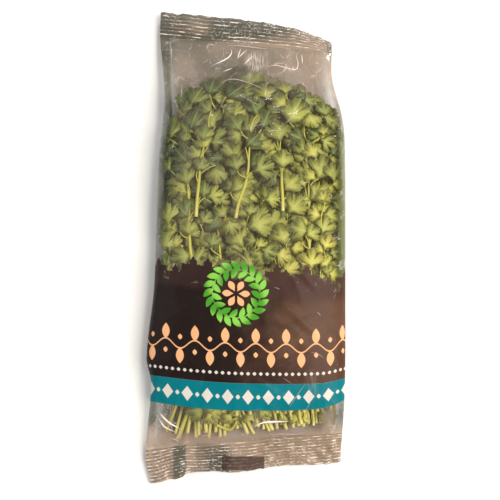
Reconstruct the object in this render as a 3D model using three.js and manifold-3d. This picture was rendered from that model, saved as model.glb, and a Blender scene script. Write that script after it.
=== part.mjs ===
// A bunch of coriander sealed in a clear film bag that lies on its back.
//
// Units are millimetres. +X runs across the bag, +Y from the cut ends of the stems to the leaves, and +Z
// is up. The origin is under the middle of the bag, on the surface that it rests on.
//
// The bag is one skin: a flattened tube that both crimped end seals close, with vent holes in its back.
// Inside it lie leafy stems, each a stem with a rachis and its lobed leaflets, and some short cut stems.
// A leaflet takes the first drawn slant at which it touches neither the film nor another leafy stem.

import * as THREE from "three";
import { mergeVertices } from "three/addons/utils/BufferGeometryUtils.js";
import Module from "manifold-3d";

const wasm = await Module();
wasm.setup();

// ---------------------------------------------------------------- the bag's driving dimensions

// The outline seen from above. The side edges are [y, x] and the four cross lines are [u, y], where u
// runs from -1 at the left edge to 1 at the right edge.
const LEFT_EDGE = [
  [-200, -78],
  [-182, -82],
  [-124, -78],
  [-104, -82],
  [-45, -77],
  [60, -76],
  [115, -72.5],
  [180, -78.5],
  [200, -78.5],
];
const RIGHT_EDGE = [
  [-180, 74],
  [-136, 77.5],
  [-55, 79.5],
  [70, 82.3],
  [98, 81],
  [138, 73.5],
  [175, 74.5],
];
const BOTTOM_CUT = [
  [-1, -202.5],
  [-0.7, -198.5],
  [-0.55, -194],
  [0, -193.3],
  [0.3, -189.5],
  [0.8, -188],
  [1, -185.5],
];
const BOTTOM_SEAL_LINE = [
  [-1, -176],
  [0, -168],
  [1, -163],
];
const TOP_SEAL_LINE = [
  [-1, 177.5],
  [0, 170.5],
  [1, 163],
];
const TOP_CUT = [
  [-1, 202.5],
  [-0.65, 201],
  [0, 196],
  [0.55, 189.5],
  [0.8, 182.5],
  [1, 175],
];

// Heights along the pouch, as [s, z]: s is 0 at the bottom seal line and 1 at the top seal line.
const CROWN = [
  [0, 7.6],
  [0.03, 16],
  [0.08, 24],
  [0.2, 32],
  [0.35, 37],
  [0.5, 42],
  [0.7, 45],
  [0.8, 41],
  [0.9, 27],
  [0.96, 15],
  [1, 9.1],
];
const RIM = [
  [0, 7],
  [0.08, 11],
  [0.2, 15],
  [0.5, 17],
  [0.8, 16],
  [0.93, 11],
  [1, 8.5],
];
const BELLY = [
  [0, 6.4],
  [0.03, 3],
  [0.08, 0],
  [0.5, 0],
  [0.91, 0],
  [0.96, 3],
  [1, 7.9],
];
const CROWN_ROUNDING = 2.4;
const BELLY_ROUNDING = 4;
const BELLY_FULLNESS = 0.6;
const FLAT_DEPTH = 1.5; // how far the round underside is pressed flat by the surface under it

const FILM = 0.8;
const COLUMNS = 12; // facets across the front, and as many across the back
const BODY_ROWS = 24; // rows of facets from seal to seal, close together near the seals
const CAVITY_ROWS = [2, 22];

// The crimped end seals: heights at the seal line and at the cut edge, and how the corners curl.
const SEAL_THICKNESS = 1.2;
const RIB_HEIGHT = 0.45;
const RIB_ROWS = 12;
const BOTTOM_SEAL = { line: BOTTOM_SEAL_LINE, cut: BOTTOM_CUT, z: [7, 4.5], curl: 1.5 };
const TOP_SEAL = { line: TOP_SEAL_LINE, cut: TOP_CUT, z: [8.5, 5.5], curl: -2 };

// The gathers that run from the end seals into the pouch and fade out over a share of its length.
const GATHER_DEPTH = 1.8;
const GATHER_REACH = 0.16;
const GATHER_START = 0.03;
const BOTTOM_GATHERS = { waves: 5, phase: 0.6 };
const TOP_GATHERS = { waves: 4, phase: -1.1 };

const VENT_RADIUS = 3;
const VENT_SIDES = 10;
const VENT_PUNCH = 8;
const VENTS = [
  [-30, 60],
  [30, 60],
  [-30, -100],
  [30, -100],
];

// ---------------------------------------------------------------- the herb's driving dimensions

// Leafy stems lie in lanes side by side, in layers one on another. Their cut ends are together near the
// bottom seal, and their leaf ends fan out over the upper part of the bag.
const LANES = 10;
const LAYERS = 3;
const CUT_END = { left: -37, right: 66, y: -160, aboveSeal: 15, z: [5.5, 10.5, 15.5] };
const CUT_SCATTER = { x: 0.6, y: 7, z: 1 };
const LEAF_END = { left: -57, right: 60, low: -52, high: 99, z: [9, 20.5, 30] };
const LEAF_SCATTER = { x: 3.5, y: 8, z: 1.5 };
const LEVEL_STEPS = { lane: 0.382, layer: 0.29, first: 0.15 }; // they spread the leaf ends from low to high
const LANE_STAGGER = 3; // every second stem of a layer lies this much higher, the others as much lower
const FAN_END = 0; // the y up to which the stems spread apart
const SWAY = 4;
const STEM_RADIUS = [1.1, 1.7];
const STEM_TIP_RADIUS = 0.9;
const RACHIS_RADIUS = 0.75;
const STEM_SIDES = 5;
const RING_SPACING = 32;
const LEAST_RINGS = 3;
const LINE_SPACING = 4; // between the points at which a stem's clearance is measured
const RACHIS_LENGTH = [26, 36];
const RACHIS_STOPS = [0, 0.35, 1]; // the rings of a rachis, as shares of its length
const RACHIS_TURN = 36; // degrees either way from the bag's length
const RACHIS_INWARD = 8; // degrees more towards the middle of the bag
const RACHIS_RISE = 9;

// The leaflets of one leaf: where each stands on the rachis, its angle from it and its length.
const LEAFLETS = [
  { at: 1, angle: 0, length: 24 },
  { at: 0.6, angle: 66, length: 21 },
  { at: 0.6, angle: -66, length: 21 },
  { at: 0.1, angle: 80, length: 20 },
  { at: 0.1, angle: -80, length: 20 },
];
// Three lobes of two teeth on one side of the rib, as [degrees from the rib, share of the fan's radius].
const HALF_FAN = [
  [14, 1],
  [28, 0.56],
  [40, 0.9],
  [68, 0.86],
  [98, 0.38],
];
const NECK_SHARE = 0.3; // of a leaflet's length, from the rachis to the middle of its fan
const NECK_HALF_WIDTH = 0.6;
const BLADE = 0.8;
const BLADE_ARCH = 0.012; // how far a blade bends down, per square millimetre off its rib
const YAW_DRAW = 34;
const PITCH_DRAW = 38;
const ROLL_DRAW = 48;
const LENGTH_DRAW = [0.9, 1.12];
const LEAFLET_TRIES = 300;
const SMALLEST = 0.72; // the share of its length that a leaflet is drawn with by the last try

// Clearances between pieces, measured from a blade's middle surface or from a stem's skin.
const STEM_TRIES = 60;
const STEM_GAP = 1;
const STEM_TO_FILM = 1.4;
const STEM_TO_BLADE = 1.1;
const BLADE_TO_BLADE = 1.7;
const BLADE_TO_FILM = 1.8;
const SISTER_GAP = 0.5; // between leaflets of one leaf, which meet within the neck's length of it
const SISTER_NECK = 7;
const EDGE_MARGIN = 1.2;
const WEDGE = { slope: 0.75, reach: 0.43 }; // the wedge that bounds a fan on its neck's side
const SAMPLE_SHARES = [1, 0.66, 0.33];
const RACHIS_DEPTH = 4.5; // a rachis keeps at least this far below the film
const SIDE_LIMIT = 0.93;
const END_LIMITS = [0.022, 0.978];

// Short stems that lie on the others: [x, y, z] of the cut end and of the leaf end.
const SHORT_RADIUS = 1.35;
const SHORT_STEMS = [
  { from: [-42, 8, 40.5], to: [-39, 54, 41.5] },
  { from: [-10, 6, 41], to: [0, 46, 42.2] },
  { from: [28, 12, 40.5], to: [27, 44, 41.5] },
];
// Cut stems with no leaf: the points that each runs through.
const LOOSE_RADIUS = 1.2;
const LOOSE_STEMS = {
  loose_stem_left: [
    [-52, -116, 16],
    [-57, -140, 14],
    [-65.5, -162, 9],
  ],
  loose_stem_bent: [
    [-25, -157, 12.4],
    [-14, -160.5, 10.6],
    [-9, -154, 13],
  ],
};

// Seeds of the draws, far enough apart that no two pieces share one.
const SHORT_SEED = 900;
const LANE_SEED = 1;
const LANE_TRY_SEED = 1000;
const LEAFLET_SEED = 5000;
const LEAFLET_STEM_SEED = 97;
const LEAFLET_PLACE_SEED = 13;

// ---------------------------------------------------------------- numbers, curves and draws

const radians = THREE.MathUtils.degToRad;
const lerp = THREE.MathUtils.lerp;
const clamp = THREE.MathUtils.clamp;

/** The value at s of a smooth curve through [place, value] points. */
function through(points, s) {
  const last = points.length - 1;
  const place = clamp(s, points[0][0], points[last][0]);
  let i = 0;
  while (i < last - 1 && place > points[i + 1][0]) {
    i += 1;
  }
  const slope = (k) => {
    const [a, b] = [points[Math.max(k - 1, 0)], points[Math.min(k + 1, last)]];
    return (b[1] - a[1]) / (b[0] - a[0]);
  };
  const [[x0, y0], [x1, y1]] = [points[i], points[i + 1]];
  const width = x1 - x0;
  const t = (place - x0) / width;
  const ease = t * t * (3 - 2 * t);
  const entry = t * (1 - t) * (1 - t) * width * slope(i);
  const exit = t * t * (t - 1) * width * slope(i + 1);
  return lerp(y0, y1, ease) + entry + exit;
}

const DRAW_MODULUS = 2147483647;
const DRAW_MULTIPLIER = 16807;
const SEED_MULTIPLIER = 7919;
const SEED_SHIFT = 104729;
const SKIPPED_DRAWS = 3;

/** A seeded source of numbers from 0 to 1. */
function drawsOf(seed) {
  let state = (seed * SEED_MULTIPLIER + SEED_SHIFT) % DRAW_MODULUS;
  const next = () => {
    state = (state * DRAW_MULTIPLIER) % DRAW_MODULUS;
    return state / DRAW_MODULUS;
  };
  for (let i = 0; i < SKIPPED_DRAWS; i += 1) {
    next();
  }
  const between = (low, high) => low + (high - low) * next();
  const around = (reach) => between(-reach, reach);
  return { between, around };
}

/** The share of a number after its point. */
const fraction = (value) => value - Math.floor(value);

// ---------------------------------------------------------------- the bag's surface

/** The x at height y and at the share u of the way from the middle to the right edge. */
function across(y, u) {
  return lerp(through(LEFT_EDGE, y), through(RIGHT_EDGE, y), (u + 1) / 2);
}

/** The height of the gathers of one end, at the share s of the pouch's length from that end. */
function gathersOf(end, u, s) {
  const fade = Math.max(0, 1 - s / GATHER_REACH) * Math.min(1, s / GATHER_START);
  return fade * Math.cos(end.waves * u + end.phase);
}

/** The height of the gathers of both ends. */
function gathers(u, s) {
  return GATHER_DEPTH * (1 - u * u) * (gathersOf(BOTTOM_GATHERS, u, s) + gathersOf(TOP_GATHERS, u, 1 - s));
}

/** The height of the skin at (u, s), above or below, with its wall taken off by inset. */
function skinHeight(u, s, above, inset) {
  const rim = through(RIM, s);
  if (above) {
    const crown = through(CROWN, s) - inset + gathers(u, s);
    return rim + (crown - rim) * Math.sqrt(Math.max(0, 1 - Math.abs(u) ** CROWN_ROUNDING));
  }
  const belly = Math.max(0, through(BELLY, s)) + inset;
  const round = Math.max(0, 1 - Math.abs(u) ** BELLY_ROUNDING) ** BELLY_FULLNESS;
  return Math.max(belly, rim - (rim - belly + FLAT_DEPTH) * round);
}

/** A point of the pouch between the seals. */
function pouchPoint(u, s, above, inset) {
  const y = lerp(through(BOTTOM_SEAL_LINE, u), through(TOP_SEAL_LINE, u), s);
  const half = (across(y, 1) - across(y, -1)) / 2;
  return [across(y, (u * (half - inset)) / half), y, skinHeight(u, s, above, inset)];
}

/** A point of an end seal: t is 0 at the seal line and 1 at the cut edge, with a rib on every second row. */
function sealPoint(u, t, above, seal) {
  const y = lerp(through(seal.line, u), through(seal.cut, u), t);
  const rib = t > 0 && t < 1 ? RIB_HEIGHT * Math.cos(Math.PI * RIB_ROWS * t) : 0;
  const taper = Math.sqrt(Math.max(0, 1 - Math.abs(u) ** CROWN_ROUNDING));
  const skin = ((above ? 1 : -1) * SEAL_THICKNESS * taper) / 2;
  return [across(y, u), y, lerp(seal.z[0], seal.z[1], t) + seal.curl * u * t + rib + skin];
}

/** One ring of points round the flattened tube: over the top from left to right, and back underneath. */
function ring(pointAt) {
  const points = [];
  for (let k = 0; k < 2 * COLUMNS; k += 1) {
    const u = -Math.cos((Math.PI * k) / COLUMNS);
    points.push(pointAt(u, k < COLUMNS));
  }
  return points;
}

/** The rings of an end seal, from its seal line to its cut edge. */
function sealRings(seal) {
  const rings = [];
  for (let j = 1; j <= RIB_ROWS; j += 1) {
    rings.push(ring((u, above) => sealPoint(u, j / RIB_ROWS, above, seal)));
  }
  return rings;
}

/** The rings of the pouch between two of its rows, with its wall taken off by inset. */
function pouchRings(first, last, inset) {
  const rings = [];
  for (let j = first; j <= last; j += 1) {
    const s = (1 - Math.cos((Math.PI * j) / BODY_ROWS)) / 2;
    rings.push(ring((u, above) => pouchPoint(u, s, above, inset)));
  }
  return rings;
}

/** A closed solid through rings, whose two ends are closed straight across. */
function loftedSolid(rings) {
  const count = rings[0].length;
  const indices = [];
  const quad = (a, b, c, d) => indices.push(a, b, c, a, c, d);
  rings.slice(1).forEach((_, row) => {
    for (let k = 0; k < count; k += 1) {
      const next = (k + 1) % count;
      quad(row * count + k, row * count + next, (row + 1) * count + next, (row + 1) * count + k);
    }
  });
  const lastRow = (rings.length - 1) * count;
  for (let k = 0; k < count / 2; k += 1) {
    const [over, nextOver] = [k, k + 1];
    const [under, nextUnder] = [(count - k) % count, count - k - 1];
    quad(over, under, nextUnder, nextOver);
    quad(lastRow + over, lastRow + nextOver, lastRow + nextUnder, lastRow + under);
  }
  const geometry = new THREE.BufferGeometry();
  geometry.setAttribute("position", new THREE.Float32BufferAttribute(rings.flat(2), 3));
  geometry.setIndex(indices);
  return solidOf(geometry);
}

// ---------------------------------------------------------------- solids and meshes

const MERGE_DISTANCE = 1e-4;

/** A manifold-3d solid of a closed geometry. */
function solidOf(geometry) {
  const bare = geometry.clone();
  ["normal", "uv"].forEach((name) => bare.deleteAttribute(name));
  const merged = mergeVertices(bare, MERGE_DISTANCE);
  const corners = merged.index.array;
  const kept = [];
  for (let i = 0; i < corners.length; i += 3) {
    const [a, b, c] = [corners[i], corners[i + 1], corners[i + 2]];
    if (a !== b && b !== c && c !== a) {
      kept.push(a, b, c);
    }
  }
  const mesh = new wasm.Mesh({
    numProp: 3,
    vertProperties: merged.attributes.position.array,
    triVerts: new Uint32Array(kept),
  });
  return new wasm.Manifold(mesh);
}

/** A named mesh of a solid. */
function meshOf(name, solid, material) {
  const { vertProperties, triVerts } = solid.getMesh();
  const geometry = new THREE.BufferGeometry();
  geometry.setAttribute("position", new THREE.BufferAttribute(vertProperties, 3));
  geometry.setIndex(new THREE.BufferAttribute(triVerts, 1));
  geometry.computeVertexNormals();
  const mesh = new THREE.Mesh(geometry, material);
  mesh.name = name;
  return mesh;
}

/** The whole skin of the bag: its outside less the room inside and the vents. */
function bagSolid() {
  const outside = [
    ...sealRings(BOTTOM_SEAL).reverse(),
    ...pouchRings(0, BODY_ROWS, 0),
    ...sealRings(TOP_SEAL),
  ];
  let bag = loftedSolid(outside).subtract(loftedSolid(pouchRings(...CAVITY_ROWS, FILM)));
  for (const [x, y] of VENTS) {
    const punch = new THREE.CylinderGeometry(VENT_RADIUS, VENT_RADIUS, VENT_PUNCH, VENT_SIDES);
    punch.rotateX(Math.PI / 2).translate(x, y, 0);
    bag = bag.subtract(solidOf(punch));
  }
  return bag;
}

// ---------------------------------------------------------------- the room inside the bag

/** The pouch's own coordinates of a point seen from above. */
function pouchPlace(x, y) {
  const [left, right] = [across(y, -1), across(y, 1)];
  const u = (2 * x - left - right) / (right - left);
  const [low, high] = [through(BOTTOM_SEAL_LINE, u), through(TOP_SEAL_LINE, u)];
  return { u, s: (y - low) / (high - low) };
}

/** The lowest and the highest z at which something keeps the gap to the film, at a place of the pouch. */
function roomAt({ u, s }, gap) {
  return [skinHeight(u, s, false, FILM) + gap, skinHeight(u, s, true, FILM) - gap];
}

/** True if a point lies inside the film by at least the gap. */
function insideFilm(point, gap) {
  const place = pouchPlace(point.x, point.y);
  if (Math.abs(place.u) > SIDE_LIMIT || place.s < END_LIMITS[0] || place.s > END_LIMITS[1]) {
    return false;
  }
  const [floor, ceiling] = roomAt(place, gap);
  return point.z > floor && point.z < ceiling;
}

/** A point brought inside the film, by its height alone. */
function heldInside(point, gap) {
  const [floor, ceiling] = roomAt(pouchPlace(point.x, point.y), gap);
  return new THREE.Vector3(point.x, point.y, clamp(point.z, floor, Math.max(floor, ceiling)));
}

// ---------------------------------------------------------------- leafy stems

/** The smooth run of a stem at t, from 0 at its cut end to 1 where its rachis starts. */
function stemPoint(stem, t) {
  const y = lerp(stem.from[1], stem.to[1], t);
  const spread = THREE.MathUtils.smoothstep(y, stem.from[1], stem.fanEnd);
  const point = new THREE.Vector3(
    lerp(stem.from[0], stem.to[0], spread) + stem.sway * Math.sin(Math.PI * t),
    y,
    lerp(stem.from[2], stem.to[2], spread),
  );
  return heldInside(point, stem.radius + STEM_TO_FILM);
}

/** The middles of a stem's rings and, after them, of its rachis's. */
function ringMiddles(stem) {
  const steps = Math.max(LEAST_RINGS, Math.round((stem.to[1] - stem.from[1]) / RING_SPACING));
  const middles = [];
  for (let i = 0; i < steps; i += 1) {
    middles.push(stemPoint(stem, i / steps));
  }
  const start = stemPoint(stem, 1);
  for (const stop of RACHIS_STOPS) {
    const along = start.clone().addScaledVector(stem.heading, stem.length * stop);
    middles.push(heldInside(along, RACHIS_DEPTH));
  }
  return middles;
}

/** Points close together along a stem and its rachis. */
function lineOf(middles) {
  const line = [middles[0]];
  middles.slice(1).forEach((next, i) => {
    const steps = Math.ceil(next.distanceTo(middles[i]) / LINE_SPACING);
    for (let k = 1; k <= steps; k += 1) {
      line.push(middles[i].clone().lerp(next, k / steps));
    }
  });
  return line;
}

/** A cut stem with no leaf. */
function bareStemOf(name, places) {
  const middles = places.map((place) => new THREE.Vector3(...place));
  return { name, radius: LOOSE_RADIUS, middles, line: lineOf(middles) };
}

/** A stem with its rachis: where it runs, and which way its leaf points. */
function stemOf(name, from, to, fanEnd, radius, sway, draws) {
  const length = draws.between(...RACHIS_LENGTH);
  const turn = radians(draws.around(RACHIS_TURN) - Math.sign(to[0]) * RACHIS_INWARD);
  const rise = radians(draws.around(RACHIS_RISE));
  const level = Math.cos(rise);
  const heading = new THREE.Vector3(Math.sin(turn) * level, Math.cos(turn) * level, Math.sin(rise));
  const stem = { name, from, to, fanEnd, radius, sway, length, heading };
  stem.middles = ringMiddles(stem);
  stem.line = lineOf(stem.middles);
  return stem;
}

/** A place on the rachis, from 0 at its start to 1 at its tip. */
function rachisPoint(stem, t) {
  const middles = stem.middles.slice(-RACHIS_STOPS.length);
  const i = t <= RACHIS_STOPS[1] ? 0 : 1;
  const share = (t - RACHIS_STOPS[i]) / (RACHIS_STOPS[i + 1] - RACHIS_STOPS[i]);
  return middles[i].clone().lerp(middles[i + 1], share);
}

/** The least gap between a stem's skin and the others'. */
function leastGap(stem, others) {
  let least = Infinity;
  for (const other of others) {
    for (const p of stem.line) {
      for (const q of other.line) {
        least = Math.min(least, p.distanceTo(q) - stem.radius - other.radius);
      }
    }
  }
  return least;
}

/** One draw of the leafy stem of a lane and layer. */
function laneStem(layer, lane, draws) {
  const number = layer * LANES + lane;
  const share = (lane + layer / LAYERS) / (LANES - 1 / LAYERS);
  const level = fraction(LEVEL_STEPS.lane * lane + LEVEL_STEPS.layer * layer + LEVEL_STEPS.first);
  const stagger = LANE_STAGGER * (lane % 2 === 0 ? 1 : -1);
  const cutX = lerp(CUT_END.left, CUT_END.right, share) + draws.around(CUT_SCATTER.x);
  const sealY = through(BOTTOM_SEAL_LINE, pouchPlace(cutX, CUT_END.y).u);
  const from = [
    cutX,
    sealY + CUT_END.aboveSeal + draws.around(CUT_SCATTER.y),
    CUT_END.z[layer] + draws.around(CUT_SCATTER.z),
  ];
  const to = [
    lerp(LEAF_END.left, LEAF_END.right, share) + draws.around(LEAF_SCATTER.x),
    lerp(LEAF_END.low, LEAF_END.high, level) + draws.around(LEAF_SCATTER.y),
    LEAF_END.z[layer] + stagger + draws.around(LEAF_SCATTER.z),
  ];
  const radius = draws.between(...STEM_RADIUS);
  const sway = draws.around(SWAY);
  const name = `leafy_stem_${String(LAYERS * LANES - number).padStart(2, "0")}`;
  return stemOf(name, from, to, FAN_END, radius, sway, draws);
}

/** All the stems that bear leaves: the short ones on top, then lane by lane from the top layer down. */
function drawStems(bareStems) {
  const stems = SHORT_STEMS.map(({ from, to }, i) =>
    stemOf(`short_stem_${i + 1}`, from, to, to[1], SHORT_RADIUS, 0, drawsOf(SHORT_SEED + i)),
  );
  for (let layer = LAYERS - 1; layer >= 0; layer -= 1) {
    for (let lane = 0; lane < LANES; lane += 1) {
      let stem;
      for (let attempt = 0; attempt < STEM_TRIES; attempt += 1) {
        const seed = LANE_TRY_SEED * attempt + layer * LANES + lane + LANE_SEED;
        stem = laneStem(layer, lane, drawsOf(seed));
        if (leastGap(stem, [...bareStems, ...stems]) > STEM_GAP) {
          break;
        }
      }
      stems.push(stem);
    }
  }
  return stems;
}

// ---------------------------------------------------------------- leaflets

/** The outline of a leaflet, as [a, b]: from the rachis at (0, 0) along its rib, and off it. */
function leafletOutline(length) {
  const [middle, radius] = [NECK_SHARE * length, (1 - NECK_SHARE) * length];
  const side = HALF_FAN.map(([angle, share]) => [
    middle + radius * share * Math.cos(radians(angle)),
    radius * share * Math.sin(radians(angle)),
  ]);
  const left = [...side].reverse();
  const right = side.map(([a, b]) => [a, -b]);
  return [[0, NECK_HALF_WIDTH], ...left, ...right, [0, -NECK_HALF_WIDTH]];
}

/** A leaflet's frame at one drawn slant. */
function leafletFrame(stem, leaflet, draws, shrink) {
  const turn = radians(leaflet.angle + draws.around(YAW_DRAW));
  const pitch = radians(draws.around(PITCH_DRAW));
  const roll = radians(draws.around(ROLL_DRAW));
  const heading = Math.atan2(stem.heading.y, stem.heading.x) + turn;
  const [east, north] = [Math.cos(heading), Math.sin(heading)];
  const rib = new THREE.Vector3(east * Math.cos(pitch), north * Math.cos(pitch), Math.sin(pitch));
  const side = new THREE.Vector3(-north, east, 0).applyAxisAngle(rib, roll);
  const normal = rib.clone().cross(side);
  const length = leaflet.length * draws.between(...LENGTH_DRAW) * shrink;
  const root = rachisPoint(stem, leaflet.at);
  const middle = root.clone().addScaledVector(rib, NECK_SHARE * length);
  return { stem, root, rib, side, normal, length, middle, radius: (1 - NECK_SHARE) * length };
}

/** A point of a leaflet's blade: a along its rib, b off it and c above its middle surface. */
function bladePoint(frame, a, b, c) {
  return frame.root
    .clone()
    .addScaledVector(frame.rib, a)
    .addScaledVector(frame.side, b)
    .addScaledVector(frame.normal, c - BLADE_ARCH * b * b);
}

/** Points all over a leaflet's blade, by which it is kept clear of the rest. */
function bladeSamples(frame) {
  const middle = NECK_SHARE * frame.length;
  const samples = [bladePoint(frame, middle, 0, 0)];
  for (const [a, b] of leafletOutline(frame.length)) {
    for (const share of SAMPLE_SHARES) {
      samples.push(bladePoint(frame, middle + (a - middle) * share, b * share, 0));
    }
  }
  return samples;
}

/** True if points stay on one side of a leaflet's blade, the gap away from it, wherever they are over it. */
function clearOfBlade(points, frame, gap) {
  let side = 0;
  for (const point of points) {
    const offset = point.clone().sub(frame.middle);
    const [a, b] = [offset.dot(frame.rib), Math.abs(offset.dot(frame.side))];
    const overFan = Math.hypot(a, b) < frame.radius + EDGE_MARGIN;
    if (overFan && a > WEDGE.slope * b - WEDGE.reach * frame.radius - EDGE_MARGIN) {
      const height = offset.dot(frame.normal) + BLADE_ARCH * b * b;
      if (Math.abs(height) < gap || height * side < 0) {
        return false;
      }
      side = Math.sign(height);
    }
  }
  return true;
}

/** True if a leaflet's blade is clear of another stem. */
function clearOfStem(frame, stem) {
  const reach = frame.radius + stem.radius + LINE_SPACING;
  const near = stem.line.filter((point) => point.distanceTo(frame.middle) < reach);
  return clearOfBlade(near, frame, stem.radius + STEM_TO_BLADE);
}

/** True if two leaflets are clear of each other, past the neck if they stand on one leaf. */
function clearOfLeaflet(frame, samples, other) {
  if (other.middle.distanceTo(frame.middle) > frame.radius + other.radius + EDGE_MARGIN) {
    return true;
  }
  const sisters = other.stem === frame.stem;
  const [gap, past] = sisters ? [SISTER_GAP, SISTER_NECK] : [BLADE_TO_BLADE, 0];
  const mine = samples.filter((point) => point.distanceTo(other.root) > past);
  const theirs = other.samples.filter((point) => point.distanceTo(frame.root) > past);
  return clearOfBlade(mine, other, gap) && clearOfBlade(theirs, frame, gap);
}

/** Every leaflet of the bunch that found room. */
function drawLeaflets(stems, bareStems) {
  const leaflets = [];
  const fits = (frame, samples) =>
    samples.every((point) => insideFilm(point, BLADE_TO_FILM)) &&
    [...bareStems, ...stems].every((stem) => stem === frame.stem || clearOfStem(frame, stem)) &&
    leaflets.every((other) => clearOfLeaflet(frame, samples, other));
  LEAFLETS.forEach((leaflet, place) => {
    stems.forEach((stem, number) => {
      const draws = drawsOf(LEAFLET_SEED + LEAFLET_STEM_SEED * number + LEAFLET_PLACE_SEED * place);
      for (let attempt = 0; attempt < LEAFLET_TRIES; attempt += 1) {
        const shrink = lerp(1, SMALLEST, attempt / LEAFLET_TRIES);
        const frame = leafletFrame(stem, leaflet, draws, shrink);
        const samples = bladeSamples(frame);
        if (fits(frame, samples)) {
          leaflets.push({ ...frame, samples });
          break;
        }
      }
    });
  });
  return leaflets;
}

/** A leaflet's blade as a solid. */
function leafletSolid(frame) {
  const outline = leafletOutline(frame.length).map(([a, b]) => new THREE.Vector2(a, b));
  const plate = { depth: BLADE, bevelEnabled: false, steps: 1 };
  const blade = new THREE.ExtrudeGeometry(new THREE.Shape(outline), plate);
  const position = blade.attributes.position;
  for (let i = 0; i < position.count; i += 1) {
    const height = position.getZ(i) - BLADE / 2;
    const point = bladePoint(frame, position.getX(i), position.getY(i), height);
    position.setXYZ(i, point.x, point.y, point.z);
  }
  return solidOf(blade);
}

// ---------------------------------------------------------------- rods

/** A round rod through points, with a radius at each. */
function rodSolid(points, radii) {
  const last = points.length - 1;
  const rod = new THREE.CylinderGeometry(1, 1, last, STEM_SIDES, last);
  const position = rod.attributes.position;
  const up = new THREE.Vector3(0, 0, 1);
  for (let i = 0; i < position.count; i += 1) {
    const row = Math.round(last / 2 + position.getY(i));
    const ahead = points[Math.min(row + 1, last)];
    const behind = points[Math.max(row - 1, 0)];
    const along = ahead.clone().sub(behind).normalize();
    const side = along.clone().cross(up).normalize();
    const over = side.clone().cross(along);
    const point = points[row]
      .clone()
      .addScaledVector(side, position.getX(i) * radii[row])
      .addScaledVector(over, position.getZ(i) * radii[row]);
    position.setXYZ(i, point.x, point.y, point.z);
  }
  return solidOf(rod);
}

/** A stem and its rachis as one tapering rod. */
function stemSolid(stem) {
  const rachisStart = stem.middles.length - RACHIS_STOPS.length;
  const radii = stem.middles.map((_, i) =>
    i > rachisStart ? RACHIS_RADIUS : lerp(stem.radius, STEM_TIP_RADIUS, i / rachisStart),
  );
  return rodSolid(stem.middles, radii);
}

// ---------------------------------------------------------------- the object

const filmFinish = new THREE.MeshStandardMaterial({
  color: 0xb8aa98,
  roughness: 0.22,
  metalness: 0,
  transparent: true,
  opacity: 0.4,
});
const leafFinish = new THREE.MeshStandardMaterial({ color: 0x7f8f3c, roughness: 0.6, metalness: 0 });
const stemFinish = new THREE.MeshStandardMaterial({ color: 0xa9ad55, roughness: 0.5, metalness: 0 });

const bunch = new THREE.Group();
bunch.add(meshOf("film_bag", bagSolid(), filmFinish));

const bareStems = Object.entries(LOOSE_STEMS).map(([name, places]) => bareStemOf(name, places));
for (const stem of bareStems) {
  const radii = stem.middles.map(() => stem.radius);
  bunch.add(meshOf(stem.name, rodSolid(stem.middles, radii), stemFinish));
}

const stems = drawStems(bareStems);
const leaflets = drawLeaflets(stems, bareStems);
for (const stem of stems) {
  const blades = leaflets.filter((frame) => frame.stem === stem).map(leafletSolid);
  const leafy = blades.reduce((body, blade) => body.add(blade), stemSolid(stem));
  bunch.add(meshOf(stem.name, leafy, leafFinish));
}

export default bunch;
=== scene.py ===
"""A bunch of coriander sealed in a clear, printed film bag that lies on its back.

The bag is a flattened tube of thin film, crimped shut at both ends. Leafy stems lie in it side by side
and one on another, with their cut ends at the bottom seal. Sizes are in millimetres up to the point
where a mesh is made, and each mesh is in metres.
"""

import logging
import math
from dataclasses import dataclass, field
from enum import Enum
from typing import Callable, NamedTuple, Sequence

import bpy
import numpy as np
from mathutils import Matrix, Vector


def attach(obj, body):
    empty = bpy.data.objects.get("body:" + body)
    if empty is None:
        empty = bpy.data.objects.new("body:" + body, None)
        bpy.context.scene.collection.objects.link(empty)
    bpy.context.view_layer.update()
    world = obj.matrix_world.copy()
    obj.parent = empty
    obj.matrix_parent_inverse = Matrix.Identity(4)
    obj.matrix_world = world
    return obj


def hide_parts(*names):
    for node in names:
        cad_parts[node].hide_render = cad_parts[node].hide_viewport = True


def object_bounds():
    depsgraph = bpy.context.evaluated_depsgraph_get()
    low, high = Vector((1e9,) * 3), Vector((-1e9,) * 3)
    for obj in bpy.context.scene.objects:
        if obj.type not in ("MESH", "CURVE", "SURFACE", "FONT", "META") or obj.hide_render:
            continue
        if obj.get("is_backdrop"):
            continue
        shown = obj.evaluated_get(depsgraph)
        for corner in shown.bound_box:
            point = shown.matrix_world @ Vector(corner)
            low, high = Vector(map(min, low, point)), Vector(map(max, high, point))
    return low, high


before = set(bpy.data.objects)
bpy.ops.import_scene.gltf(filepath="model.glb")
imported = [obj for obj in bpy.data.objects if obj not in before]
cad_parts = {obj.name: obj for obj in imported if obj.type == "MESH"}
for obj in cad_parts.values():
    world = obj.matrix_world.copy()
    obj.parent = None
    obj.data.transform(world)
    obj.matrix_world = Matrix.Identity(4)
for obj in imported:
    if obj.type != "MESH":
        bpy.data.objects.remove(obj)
cad_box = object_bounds()

log = logging.getLogger("coriander")

MM = 0.001
BODY = "root"

Array = np.ndarray
Random = np.random.Generator
Span = tuple[float, float]
Colour = tuple[float, float, float, float]
Face = tuple[int, ...]
Piece = bpy.types.Object
Material = bpy.types.Material


# ---------------- numbers, curves and draws


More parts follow.
